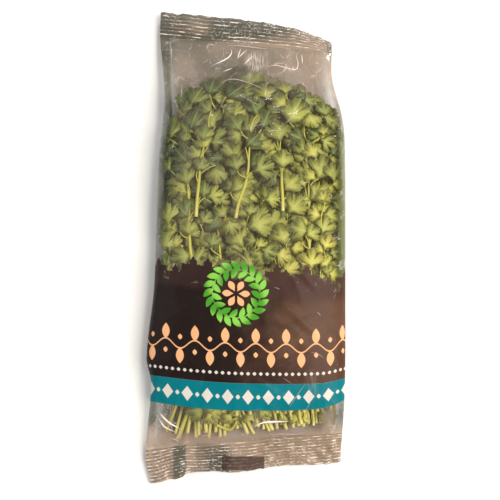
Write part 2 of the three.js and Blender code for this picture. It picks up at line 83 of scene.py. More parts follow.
class Curve:
    """A smooth curve through (place, value) points."""

    def __init__(self, *points: Span) -> None:
        """Works out the slope at each point.

        Args:
            points: the places, in rising order, and the values there.
        """
        table = np.array(points, float)
        self.places, self.values = table[:, 0], table[:, 1]
        before = np.maximum(np.arange(len(table)) - 1, 0)
        after = np.minimum(np.arange(len(table)) + 1, len(table) - 1)
        rise = self.values[after] - self.values[before]
        self.slopes = rise / (self.places[after] - self.places[before])

    def __call__(self, place: Array | float) -> Array:
        """The value at a place, which is held between the first and the last point.

        Args:
            place: one place or many.

        Returns:
            The value at each place.
        """
        held = np.clip(place, self.places[0], self.places[-1])
        i = np.clip(np.searchsorted(self.places, held, side="left") - 1, 0, len(self.places) - 2)
        width = self.places[i + 1] - self.places[i]
        t = (held - self.places[i]) / width
        ease = t * t * (3 - 2 * t)
        entry = t * (1 - t) * (1 - t) * width * self.slopes[i]
        leave = t * t * (t - 1) * width * self.slopes[i + 1]
        return (1 - ease) * self.values[i] + ease * self.values[i + 1] + entry + leave


class Draws:
    """A seeded source of numbers."""

    MODULUS = 2147483647
    MULTIPLIER = 16807
    SEED_MULTIPLIER = 7919
    SEED_SHIFT = 104729
    SKIPPED = 3

    def __init__(self, seed: int) -> None:
        """Starts the draws.

        Args:
            seed: a whole number; each seed gives its own draws.
        """
        self.state = (seed * self.SEED_MULTIPLIER + self.SEED_SHIFT) % self.MODULUS
        for _ in range(self.SKIPPED):
            self.next()

    def next(self) -> float:
        """A number from 0 to 1."""
        self.state = self.state * self.MULTIPLIER % self.MODULUS
        return self.state / self.MODULUS

    def between(self, low: float, high: float) -> float:
        """A number from low to high."""
        return low + (high - low) * self.next()

    def around(self, reach: float) -> float:
        """A number within reach of zero."""
        return self.between(-reach, reach)


def lerp(low: Array | float, high: Array | float, share: Array | float) -> Array | float:
    """The value at a share of the way from low to high."""
    return (1 - share) * low + share * high


def smoothstep(low: float, high: float, value: Array | float) -> Array | float:
    """0 below low, 1 above high and a soft step between them."""
    t = np.clip((value - low) / (high - low), 0, 1)
    return t * t * (3 - 2 * t)


def lumps(x: Array, y: Array, size: float, seed: int) -> Array:
    """Smooth random hills and hollows from -1 to 1.

    Args:
        x: the places across.
        y: the places along.
        size: the distance from one hill to the next.
        seed: picks the pattern.

    Returns:
        The height at each place.
    """
    side = 64
    heights = np.random.default_rng(seed).uniform(-1, 1, (side, side))
    gx, gy = x / size + side, y / size + side
    ix, iy = np.floor(gx).astype(int), np.floor(gy).astype(int)
    tx, ty = smoothstep(0, 1, gx - ix), smoothstep(0, 1, gy - iy)
    corner = lambda dx, dy: heights[(ix + dx) % side, (iy + dy) % side]
    return lerp(lerp(corner(0, 0), corner(1, 0), tx), lerp(corner(0, 1), corner(1, 1), tx), ty)


def unit(vector: Array) -> Array:
    """A vector, or each row of vectors, at length 1."""
    return vector / np.linalg.norm(vector, axis=-1, keepdims=True)


# ---------------- meshes from numbers


@dataclass
class MeshParts:
    """Points, faces and what they carry, gathered into one mesh."""

    points: list[Array] = field(default_factory=list)
    faces: list[Face] = field(default_factory=list)
    places: list[Array] = field(default_factory=list)
    traits: dict[str, list[Array]] = field(default_factory=dict)
    count: int = 0

    def add(self, points: Array, faces: Array, places: Array, **traits: float | Array) -> None:
        """Adds a closed form.

        Args:
            points: its points, in millimetres.
            faces: rows of point numbers, counted from this form's first point.
            places: each point's place on the form's own map.
            traits: named numbers, one for each point or one for all.
        """
        self.points.append(points)
        self.places.append(places)
        for row in faces:
            self.faces.append(tuple(int(k) + self.count for k in row))
        for name, value in traits.items():
            self.traits.setdefault(name, []).append(np.broadcast_to(np.asarray(value, float), len(points)))
        self.count += len(points)

    def make(self, name: str, map_name: str) -> Piece:
        """Makes the piece.

        Args:
            name: the piece's name.
            map_name: the name of its UV map.

        Returns:
            The new object, smooth all over.
        """
        mesh = bpy.data.meshes.new(name)
        points = np.concatenate(self.points) * MM
        mesh.from_pydata(points.tolist(), [], self.faces)
        mesh.polygons.foreach_set("use_smooth", [True] * len(mesh.polygons))
        corners = np.empty(len(mesh.loops), int)
        mesh.loops.foreach_get("vertex_index", corners)
        uv = mesh.uv_layers.new(name=map_name)
        uv.data.foreach_set("uv", np.concatenate(self.places)[corners].astype(np.float32).ravel())
        for trait, values in self.traits.items():
            layer = mesh.attributes.new(trait, "FLOAT", "POINT")
            layer.data.foreach_set("value", np.concatenate(values).astype(np.float32))
        mesh.update()
        piece = bpy.data.objects.new(name, mesh)
        bpy.context.scene.collection.objects.link(piece)
        return piece


def grid_faces(rows: int, columns: int, closed: bool) -> Array:
    """The quads of a grid of points.

    Args:
        rows: rows of points.
        columns: points in a row.
        closed: whether a row's last point joins its first.

    Returns:
        Rows of four point numbers.
    """
    r, c = np.meshgrid(np.arange(rows - 1), np.arange(columns if closed else columns - 1), indexing="ij")
    after = (c + 1) % columns
    quads = [r * columns + c, r * columns + after, (r + 1) * columns + after, (r + 1) * columns + c]
    return np.stack(quads, axis=-1).reshape(-1, 4)


# ---------------- the bag's form


class FilmPlaces(NamedTuple):
    """Places on the film: x and y, u across from -1 to 1, s from seal to seal, and front, 1 or 0."""

    x: Array
    y: Array
    u: Array
    s: Array
    front: Array


@dataclass(frozen=True)
class SealForm:
    """One crimped end seal: its two cross lines as [u, y], its heights and the curl of its corners."""

    line: Curve
    cut: Curve
    heights: Span
    curl: float


@dataclass(frozen=True)
class BagForm:
    """The shape of the filled bag. u runs across it from -1 to 1, s along it from seal to seal."""

    left_edge: Curve = Curve(
        *((-200, -78), (-182, -82), (-124, -78), (-104, -82), (-45, -77)),
        *((60, -76), (115, -72.5), (180, -78.5), (200, -78.5)),
    )
    right_edge: Curve = Curve(
        *((-180, 74), (-136, 77.5), (-55, 79.5), (70, 82.3), (98, 81), (138, 73.5), (175, 74.5))
    )
    bottom: SealForm = SealForm(
        line=Curve((-1, -176), (0, -168), (1, -163)),
        cut=Curve(
            *((-1, -202.5), (-0.7, -198.5), (-0.55, -194), (0, -193.3)),
            *((0.3, -189.5), (0.8, -188), (1, -185.5)),
        ),
        heights=(7, 4.5),
        curl=1.5,
    )
    top: SealForm = SealForm(
        line=Curve((-1, 177.5), (0, 170.5), (1, 163)),
        cut=Curve((-1, 202.5), (-0.65, 201), (0, 196), (0.55, 189.5), (0.8, 182.5), (1, 175)),
        heights=(8.5, 5.5),
        curl=-2,
    )
    crown: Curve = Curve(
        *((0, 7.6), (0.03, 16), (0.08, 24), (0.2, 32), (0.35, 37), (0.5, 42), (0.7, 45)),
        *((0.8, 41), (0.9, 27), (0.96, 15), (1, 9.1)),
    )
    rim: Curve = Curve((0, 7), (0.08, 11), (0.2, 15), (0.5, 17), (0.8, 16), (0.93, 11), (1, 8.5))
    belly: Curve = Curve((0, 6.4), (0.03, 3), (0.08, 0), (0.5, 0), (0.91, 0), (0.96, 3), (1, 7.9))
    crown_rounding: float = 2.4
    belly_rounding: float = 4
    belly_fullness: float = 0.6
    flat_depth: float = 1.5
    wall: float = 0.8
    gather_depth: float = 1.8
    gather_reach: float = 0.16
    gather_start: float = 0.03

    def across(self, y: Array, u: Array) -> Array:
        """The x at height y and at the share u of the way from the middle to the right edge."""
        return lerp(self.left_edge(y), self.right_edge(y), (u + 1) / 2)

    def gathers(self, u: Array, s: Array) -> Array:
        """The height of the gathers that run from both end seals into the pouch.

        Args:
            u: the places across, from -1 to 1.
            s: the places from seal to seal.

        Returns:
            The height at each place.
        """
        waves = 0.0
        for count, phase, share in ((5, 0.6, s), (4, -1.1, 1 - s)):
            fade = np.maximum(0, 1 - share / self.gather_reach) * np.minimum(1, share / self.gather_start)
            waves = waves + fade * np.cos(count * u + phase)
        return self.gather_depth * (1 - u * u) * waves

    def roof(self, u: Array, s: Array, inset: float = 0) -> Array:
        """The height of the front panel at the places u and s, less the inset."""
        rim, crown = self.rim(s), self.crown(s) - inset + self.gathers(u, s)
        return rim + (crown - rim) * np.sqrt(np.maximum(0, 1 - np.abs(u) ** self.crown_rounding))

    def floor(self, u: Array, s: Array, inset: float = 0) -> Array:
        """The height of the back panel, with its wall taken off by inset.

        Args:
            u: the places across, from -1 to 1.
            s: the places from seal to seal.
            inset: what is taken off.

        Returns:
            The height at each place.
        """
        rim = self.rim(s)
        belly = np.maximum(0, self.belly(s)) + inset
        full = np.maximum(0, 1 - np.abs(u) ** self.belly_rounding) ** self.belly_fullness
        return np.maximum(belly, rim - (rim - belly + self.flat_depth) * full)

    def place(self, x: Array, y: Array) -> tuple[Array, Array]:
        """The pouch's own coordinates (u, s) of points seen from above.

        Args:
            x: the places across.
            y: the places along.

        Returns:
            The share across and the share from seal to seal.
        """
        left, right = self.across(y, -1), self.across(y, 1)
        u = (2 * x - left - right) / (right - left)
        low, high = self.bottom.line(u), self.top.line(u)
        return u, (y - low) / (high - low)

    def room(self, points: Array, gap: float) -> tuple[Array, Array]:
        """The lowest and highest z at which things at these points keep the gap to the film."""
        u, s = self.place(points[..., 0], points[..., 1])
        return self.floor(u, s, self.wall) + gap, self.roof(u, s, self.wall) - gap

    def holds(self, points: Array, gap: float, side_limit: float = 0.93, end_limit: float = 0.022) -> Array:
        """Whether all points of each set lie inside the film by at least the gap.

        Args:
            points: the points of each set, in the last two axes.
            gap: the least distance above and below.
            side_limit: how near they may come to the side edges, as a share of the half width.
            end_limit: how near they may come to the seals, as a share of the length.

        Returns:
            One answer for each set.
        """
        u, s = self.place(points[..., 0], points[..., 1])
        inside = (np.abs(u) <= side_limit) & (s >= end_limit) & (s <= 1 - end_limit)
        above = points[..., 2] > self.floor(u, s, self.wall) + gap
        below = points[..., 2] < self.roof(u, s, self.wall) - gap
        return np.all(inside & above & below, axis=-1)

    def girth(self, at: FilmPlaces) -> Array:
        """The distance round the bag from its middle line.

        Args:
            at: the places on the film.

        Returns:
            The length along the front, or over the right edge and on along the back.
        """
        _, y, u, s, front = at
        left, right = self.across(y, -1), self.across(y, 1)
        middle = (left + right) / (left - right)
        shares = np.linspace(0, 1, 13).reshape(-1, *[1] * np.ndim(y))

        def run(start: Array, end: Array, height: Callable[[Array, Array], Array]) -> Array:
            """The signed length of a panel from one place across it to another.

            Args:
                start: the first place.
                end: the last place.
                height: the panel's height by u and s.

            Returns:
                The length at each place along.
            """
            line = start + (end - start) * shares
            steps = np.hypot(np.diff(self.across(y, line), axis=0), np.diff(height(line, s), axis=0))
            return np.sign(end - start) * steps.sum(axis=0)

        edge = run(middle, np.ones_like(u), self.roof)
        return np.where(front > 0, run(middle, u, self.roof), edge - run(np.ones_like(u), u, self.floor))

    def axes_at(self, x: float, y: float) -> Array:
        """Three axes at a place of the front panel: two along it and one out of it.

        Args:
            x: the place across.
            y: the place along.

        Returns:
            The axes as rows.
        """
        step = 2.0
        near = np.array([[x - step, y, 0], [x + step, y, 0], [x, y - step, 0], [x, y + step, 0]])
        _, high = self.room(near, 0)
        normal = unit(np.array([high[0] - high[1], high[2] - high[3], 2 * step]))
        east = unit(np.array([normal[2], 0, -normal[0]]))
        return np.stack([east, np.cross(normal, east), normal])

    def held(self, point: Array, gap: float) -> Array:
        """A point brought inside the film, by its height alone."""
        low, high = self.room(point, gap)
        return np.array([point[0], point[1], min(max(point[2], low), max(low, high))])


BAG = BagForm()


# ---------------- where stems and leaflets lie


@dataclass
class Stalk:
    """A side stalk of a stem: its path, its radius at both ends, and whether it ends in a cut."""

    path: Array
    radii: Span
    cut: bool = False


@dataclass
class Stem:
    """One stem: where it runs, and the leaflets that stand on it."""

    name: str
    radius: float
    middles: Array
    line: Array
    length: float = 0
    heading: Array | None = None
    leaflets: list["Leaflet"] = field(default_factory=list)
    stalks: list["Stalk"] = field(default_factory=list)


@dataclass
class Leaflet:
    """One leaflet: its root, the three directions of its frame and its length."""

    root: Array
    rib: Array
    side: Array
    normal: Array
    length: float
    neck_share: float = 0.3
    samples: Array | None = None

    @property
    def middle(self) -> Array:
        """The middle of the fan."""
        return self.root + self.rib * self.neck_share * self.length

    @property
    def radius(self) -> float:
        """The radius of the fan."""
        return (1 - self.neck_share) * self.length

    @property
    def axes(self) -> Array:
        """Its three directions as rows."""
        return np.stack([self.rib, self.side, self.normal])

    def at(self, places: Array) -> Array:
        """Points of the blade, from rows of (along the rib, off it, above the blade).

        Args:
            places: the rows, in millimetres.

        Returns:
            The points in the bag.
        """
        bent = places.copy()
        bent[:, 2] -= LeafRule.arch * places[:, 1] ** 2
        return self.root + bent @ self.axes


@dataclass(frozen=True)
class LeafRule:
    """How leaflets stand on a rachis and how far they keep from each other."""

    spots: tuple[tuple[float, float, float], ...] = (
        *((1, 0, 24), (0.6, 66, 21), (0.6, -66, 21)),
        *((0.1, 80, 20), (0.1, -80, 20)),
    )
    fan: tuple[Span, ...] = ((14, 1), (28, 0.56), (40, 0.9), (68, 0.86), (98, 0.38))
    neck: float = 0.3
    neck_half_width: float = 0.6
    arch: float = 0.012
    yaw: float = 34
    pitch: float = 38
    roll: float = 48
    length_draw: Span = (0.9, 1.12)
    tries: int = 300
    smallest: float = 0.72
    stem_gap: float = 1.1
    blade_gap: float = 1.7
    film_gap: float = 1.8
    sister_gap: float = 0.5
    sister_neck: float = 7
    margin: float = 1.2
    wedge: Span = (0.75, 0.43)
    shares: tuple[float, ...] = (1, 0.66, 0.33)
    seeds: tuple[int, int, int] = (5000, 97, 13)

    def flat_samples(self) -> tuple[Array, Array]:
        """Points all over a flat blade as (along, off).

        Returns:
            Their shares of its length, and what is added to each.
        """
        angles = np.radians([angle for angle, _ in self.fan])
        shares = np.array([share for _, share in self.fan]) * (1 - self.neck)
        side = np.stack([self.neck + shares * np.cos(angles), shares * np.sin(angles)], axis=1)
        share = np.concatenate([[[0, 0]], side[::-1], side * [1, -1], [[0, 0]]])
        added = np.zeros_like(share)
        added[0, 1], added[-1, 1] = self.neck_half_width, -self.neck_half_width
        centre = np.array([self.neck, 0])
        shares_out = [centre[None]] + [centre + (share - centre) * out for out in self.shares]
        added_out = [added[:1] * 0] + [added * out for out in self.shares]
        return np.concatenate(shares_out), np.concatenate(added_out)

    def slants(
        self,
        root: Array,
        forward: Array,
        angle: float,
        lengths: Array,
        draws: Draws,
        tilt: float,
        film_gap: float,
        side_limit: float = 0.93,
        axes: Array = np.eye(3),
    ) -> list["Leaflet"]:
        """Several slants of a leaflet, as many as there are lengths, less those that touch the film.

        Args:
            root: where it stands.
            forward: the way that its rachis points.
            angle: its angle from the rachis, in degrees.
            lengths: its length in each try, before the draw.
            draws: the source of numbers.
            tilt: a share of the full pitch and roll.
            film_gap: the least distance from the film.
            side_limit: how near it may come to the bag's side edges, as a share.
            axes: the directions that count as east, north and up.

        Returns:
            The leaflets, with their samples.
        """
        around = (self.yaw, self.pitch * tilt, self.roll * tilt)
        table = [
            [*(draws.around(reach) for reach in around), draws.between(*self.length_draw)] for _ in lengths
        ]
        yaw, pitch, roll, size = np.array(table).T
        ahead = axes @ forward
        heading = math.atan2(ahead[1], ahead[0]) + np.radians(angle + yaw)
        pitch, roll, size = np.radians(pitch), np.radians(roll), size * lengths
        east, north = np.cos(heading), np.sin(heading)
        rib = np.stack([east * np.cos(pitch), north * np.cos(pitch), np.sin(pitch)], axis=-1)
        level = np.stack([-north, east, np.zeros_like(east)], axis=-1)
        side = level * np.cos(roll)[:, None] + np.cross(rib, level) * np.sin(roll)[:, None]
        rib, side = rib @ axes, side @ axes
        normal = np.cross(rib, side)
        share, added = self.flat_samples()
        flat = size[:, None, None] * share + added
        drop = -self.arch * flat[..., 1:] ** 2
        samples = flat[..., :1] * rib[:, None] + flat[..., 1:] * side[:, None]
        samples = samples + drop * normal[:, None] + root
        rows = np.flatnonzero(BAG.holds(samples, film_gap, side_limit))
        return [Leaflet(root, rib[i], side[i], normal[i], float(size[i]), samples=samples[i]) for i in rows]

    def over(self, local: Array, radius: Array | float) -> tuple[Array, Array]:
        """Which points lie over a fan, and every point's height above its blade.

        Args:
            local: the points as (along the rib, off it, above the blade), from the fan's middle.
            radius: the fan's radius.

        Returns:
            A mask and the heights.
        """
        a, b = local[..., 0], np.abs(local[..., 1])
        near = np.hypot(a, b) < radius + self.margin
        fan = a > self.wedge[0] * b - self.wedge[1] * radius - self.margin
        return near & fan, local[..., 2] + self.arch * b * b

    def parted(self, local: Array, radius: Array | float, counted: Array, gap: Array) -> bool:
        """True if each set of points keeps the gap on one side of its blade, wherever it is over it.

        Args:
            local: the points as (along the rib, off it, above the blade), from the fan's middle.
            radius: the fan's radius.
            counted: which points count.
            gap: the least distance.

        Returns:
            True if no point is too near or on the other side.
        """
        over, height = self.over(local, radius)
        over &= counted
        if np.any(over & (np.abs(height) < gap)):
            return False
        return not np.any(np.any(over & (height > 0), axis=1) & np.any(over & (height < 0), axis=1))


@dataclass
class Bunch:
    """The herb's placing: lanes of leafy stems in layers, with short and loose stems."""

    lanes: int = 10
    layers: int = 3
    cut_end: tuple[float, float, float, float] = (-37, 66, -160, 15)
    cut_heights: tuple[float, ...] = (5.5, 10.5, 15.5)
    cut_scatter: tuple[float, float, float] = (0.6, 7, 1)
    leaf_end: tuple[float, float, float, float] = (-57, 60, -52, 99)
    leaf_heights: tuple[float, ...] = (9, 20.5, 30)
    leaf_scatter: tuple[float, float, float] = (3.5, 8, 1.5)
    level_steps: tuple[float, float, float] = (0.382, 0.29, 0.15)
    stagger: float = 3
    fan_end: float = 0
    sway: float = 4
    stem_radius: Span = (1.1, 1.7)
    ring_spacing: float = 32
    least_rings: int = 3
    line_spacing: float = 4
    rachis_length: Span = (26, 36)
    rachis_stops: tuple[float, ...] = (0, 0.35, 1)
    rachis_turn: float = 36
    rachis_inward: float = 8
    rachis_rise: float = 9
    rachis_depth: float = 4.5
    film_gap: float = 1.4
    stem_gap: float = 1
    tries: int = 60
    lane_seeds: tuple[int, int] = (1, 1000)
    short_radius: float = 1.35
    short_seed: int = 900
    short_stems: tuple[tuple[tuple[float, ...], tuple[float, ...]], ...] = (
        ((-42, 8, 40.5), (-39, 54, 41.5)),
        ((-10, 6, 41), (0, 46, 42.2)),
        ((28, 12, 40.5), (27, 44, 41.5)),
    )
    loose_radius: float = 1.2
    loose_stems: tuple[tuple[str, tuple[tuple[float, ...], ...]], ...] = (
        ("loose_stem_left", ((-52, -116, 16), (-57, -140, 14), (-65.5, -162, 9))),
        ("loose_stem_bent", ((-25, -157, 12.4), (-14, -160.5, 10.6), (-9, -154, 13))),
    )
    leaf_rule: LeafRule = field(default_factory=LeafRule)

    def line_of(self, middles: Array) -> Array:
        """Points close together along a stem.

        Args:
            middles: the points that it runs through.

        Returns:
            The points, with those it runs through among them.
        """
        line = [middles[:1]]
        for before, after in zip(middles[:-1], middles[1:]):
            steps = math.ceil(float(np.linalg.norm(after - before)) / self.line_spacing)
            shares = np.arange(1, steps + 1)[:, None] / steps
            line.append((1 - shares) * before + shares * after)
        return np.concatenate(line)

    def stem(
        self,
        name: str,
        start: Sequence[float],
        end: Sequence[float],
        fan_end: float,
        radius: float,
        sway: float,
        draws: Draws,
    ) -> Stem:
        """A stem with its rachis.

        Args:
            name: the stem's name.
            start: its cut end.
            end: where its rachis starts.
            fan_end: the y up to which it spreads from the others.
            radius: its radius.
            sway: how far it bows sideways.
            draws: the source of numbers for its rachis.

        Returns:
            The stem, with no leaflets yet.
        """
        length = draws.between(*self.rachis_length)
        turn = math.radians(draws.around(self.rachis_turn) - np.sign(end[0]) * self.rachis_inward)
        rise = math.radians(draws.around(self.rachis_rise))
        level = math.cos(rise)
        heading = np.array([math.sin(turn) * level, math.cos(turn) * level, math.sin(rise)])
        steps = max(self.least_rings, math.floor((end[1] - start[1]) / self.ring_spacing + 0.5))
        middles = []
        for i in range(steps + 1):
            t = i / steps
            y = lerp(start[1], end[1], t)
            spread = smoothstep(start[1], fan_end, y)
            x = lerp(start[0], end[0], spread) + sway * math.sin(math.pi * t)
            z = lerp(start[2], end[2], spread)
            middles.append(BAG.held(np.array([x, y, z]), radius + self.film_gap))
        root = middles.pop()
        for stop in self.rachis_stops:
            middles.append(BAG.held(root + heading * length * stop, self.rachis_depth))
        points = np.array(middles)
        return Stem(name, radius, points, self.line_of(points), length, heading)

    def lane_stem(self, layer: int, lane: int, draws: Draws) -> Stem:
        """One draw of the leafy stem of a lane and layer.

        Args:
            layer: its layer, 0 at the bottom.
            lane: its lane, 0 at the left.
            draws: the source of numbers.

        Returns:
            The stem, with no leaflets yet.
        """
        share = (lane + layer / self.layers) / (self.lanes - 1 / self.layers)
        by_lane, by_layer, first = self.level_steps
        level = (by_lane * lane + by_layer * layer + first) % 1
        stagger = self.stagger * (1 if lane % 2 == 0 else -1)
        left, right, near, above = self.cut_end
        cut_x = lerp(left, right, share) + draws.around(self.cut_scatter[0])
        seal_y = float(BAG.bottom.line(BAG.place(np.array(cut_x), np.array(near))[0]))
        start = (
            cut_x,
            seal_y + above + draws.around(self.cut_scatter[1]),
            self.cut_heights[layer] + draws.around(self.cut_scatter[2]),
        )
        left, right, low, high = self.leaf_end
        end = (
            lerp(left, right, share) + draws.around(self.leaf_scatter[0]),
            lerp(low, high, level) + draws.around(self.leaf_scatter[1]),
            self.leaf_heights[layer] + stagger + draws.around(self.leaf_scatter[2]),
        )
        radius = draws.between(*self.stem_radius)
        sway = draws.around(self.sway)
        number = self.layers * self.lanes - layer * self.lanes - lane
        return self.stem(f"leafy_stem_{number:02d}", start, end, self.fan_end, radius, sway, draws)

    def least_gap(self, stem: Stem, others: Sequence[Stem]) -> float:
        """The least gap between a stem's skin and the others'.

        Args:
            stem: the stem.
            others: the stems around it.

        Returns:
            The gap, which is endless if there are no others.
        """
        gaps = [math.inf]
        for other in others:
            apart = np.linalg.norm(stem.line[:, None] - other.line[None], axis=-1)
            gaps.append(float(np.min(apart)) - stem.radius - other.radius)
        return min(gaps)

    def draw_bare(self) -> list[Stem]:
        """The cut stems with no leaf.

        Returns:
            The stems, with nothing on them.
        """
        bare = []
        for name, places in self.loose_stems:
            middles = np.array(places, float)
            bare.append(Stem(name, self.loose_radius, middles, self.line_of(middles)))
        return bare

    def draw_leafy(self, bare: Sequence[Stem]) -> list[Stem]:
        """All stems that bear leaves: the short ones on top, then lane by lane from the top layer down.

        Args:
            bare: the stems that these keep clear of.

        Returns:
            The stems, in the order in which their leaflets are placed.
        """
        stems = []
        for i, (start, end) in enumerate(self.short_stems):
            draws = Draws(self.short_seed + i)
            stems.append(self.stem(f"short_stem_{i + 1}", start, end, end[1], self.short_radius, 0, draws))
        for layer in reversed(range(self.layers)):
            for lane in range(self.lanes):
                for attempt in range(self.tries):
                    seed = self.lane_seeds[1] * attempt + layer * self.lanes + lane + self.lane_seeds[0]
                    stem = self.lane_stem(layer, lane, Draws(seed))
                    if self.least_gap(stem, [*bare, *stems]) > self.stem_gap:
                        break
                stems.append(stem)
        return stems


def rachis_point(stem: Stem, t: float) -> Array:
    """A place on a stem's rachis, from 0 at its start to 1 at its tip.

    Args:
        stem: the stem.
        t: how far along the rachis it is.

    Returns:
        The place.
    """
    stops = Bunch.rachis_stops
    middles = stem.middles[-len(stops) :]
    i = 0 if t <= stops[1] else 1
    return lerp(middles[i], middles[i + 1], (t - stops[i]) / (stops[i + 1] - stops[i]))


# ---------------- extra leaves that fill the bag


class Side(Enum):
    """On which side of the place that bears it a leaf stands: nearer the leaves, or nearer the cut ends."""

    LEAVES = 1
    CUT_ENDS = -1


@dataclass(frozen=True)
class SprayRule:
    """Where further leaves stand, each on a thin petiole from the nearest stem."""

    left: float = -77
    right: float = 82
    low: float = -46
    dome: Curve = Curve((-76, 80), (-45, 108), (-10, 126), (15, 132), (45, 120), (70, 104), (80, 88))
    columns: int = 10
    rows: int = 11
    levels: tuple[tuple[float, float, float], ...] = (
        *((1.0, 0.1, 1), (0.96, 0.15, 0.99), (0.92, 0.2, 0.98)),
        *((0.85, 0.4, 0.96), (0.7, 0.6, 0.93), (0.45, 0.8, 0.9)),
    )
    reach: Span = (9, 48)
    least_ahead: float = 5
    side: Side = Side.LEAVES
    pressed: float = 0.3
    leaflets: tuple[Span, ...] = ((1, 0), (0.82, 66), (0.82, -66))
    length: Span = (13.5, 25)
    spot_tries: int = 5
    turn_tries: int = 24
    turn: float = 105
    film_gap: float = 0.9
    side_limit: float = 0.985
    blade_gap: float = 0.55
    stem_gap: float = 0.45
    radius: float = 0.55
    bends: Span = (0.35, 0.7)
    bow: float = 2.5
    seed: int = 71

    def foot_for(self, tip: Array, line: Array) -> int | None:
        """Finds the nearest point of the stems that can bear a leaf.

        Args:
            tip: where the leaf's petiole ends.
            line: the points of the stems.

        Returns:
            The number of that point, or None if there is none within reach.
        """
        apart = np.linalg.norm(line - tip, axis=1)
        ahead = self.side.value * (tip[1] - line[:, 1])
        behind = (ahead > self.least_ahead) & (apart > self.reach[0]) & (apart < self.reach[1])
        if not behind.any():
            return None
        return int(np.flatnonzero(behind)[np.argmin(apart[behind])])


@dataclass(frozen=True)
class ShootRule:
    """Short side stems with a cut end, which leave the stems behind the print and show below it."""

    count: int = 46
    tries: int = 16000
    feet: Span = (-136, -100)
    seal_y: float = -165
    ends: Span = (3.2, 9.5)
    end_limit: float = 0.006
    spread: float = 20
    radius: Span = (1.15, 1.85)
    widening: Span = (0.9, 1.05)
    bow: Span = (3, 1.5)
    gap: float = 0.05
    film_gap: float = 0.25
    near_foot: float = 9
    seed: int = 5


@dataclass(frozen=True)
class CoverRule:
    """Leaflets that lie over an upper stem, each on a short stalk of that stem."""

    spacing: float = 15
    low: float = -38
    ahead: float = 6
    tries: int = 14
    turns: int = 12
    fan: float = 70
    length: Span = (18, 23)
    smallest: float = 0.8
    upward: float = 0.6
    lift: float = 0.7
    forward: float = 2
    tilt: float = 0.12
    film_gap: float = 0.8
    side_limit: float = 0.97
    stem_gap: float = 0.4
    blade_gap: float = 0.55
    stalk: float = 0.5
    seed: int = 31


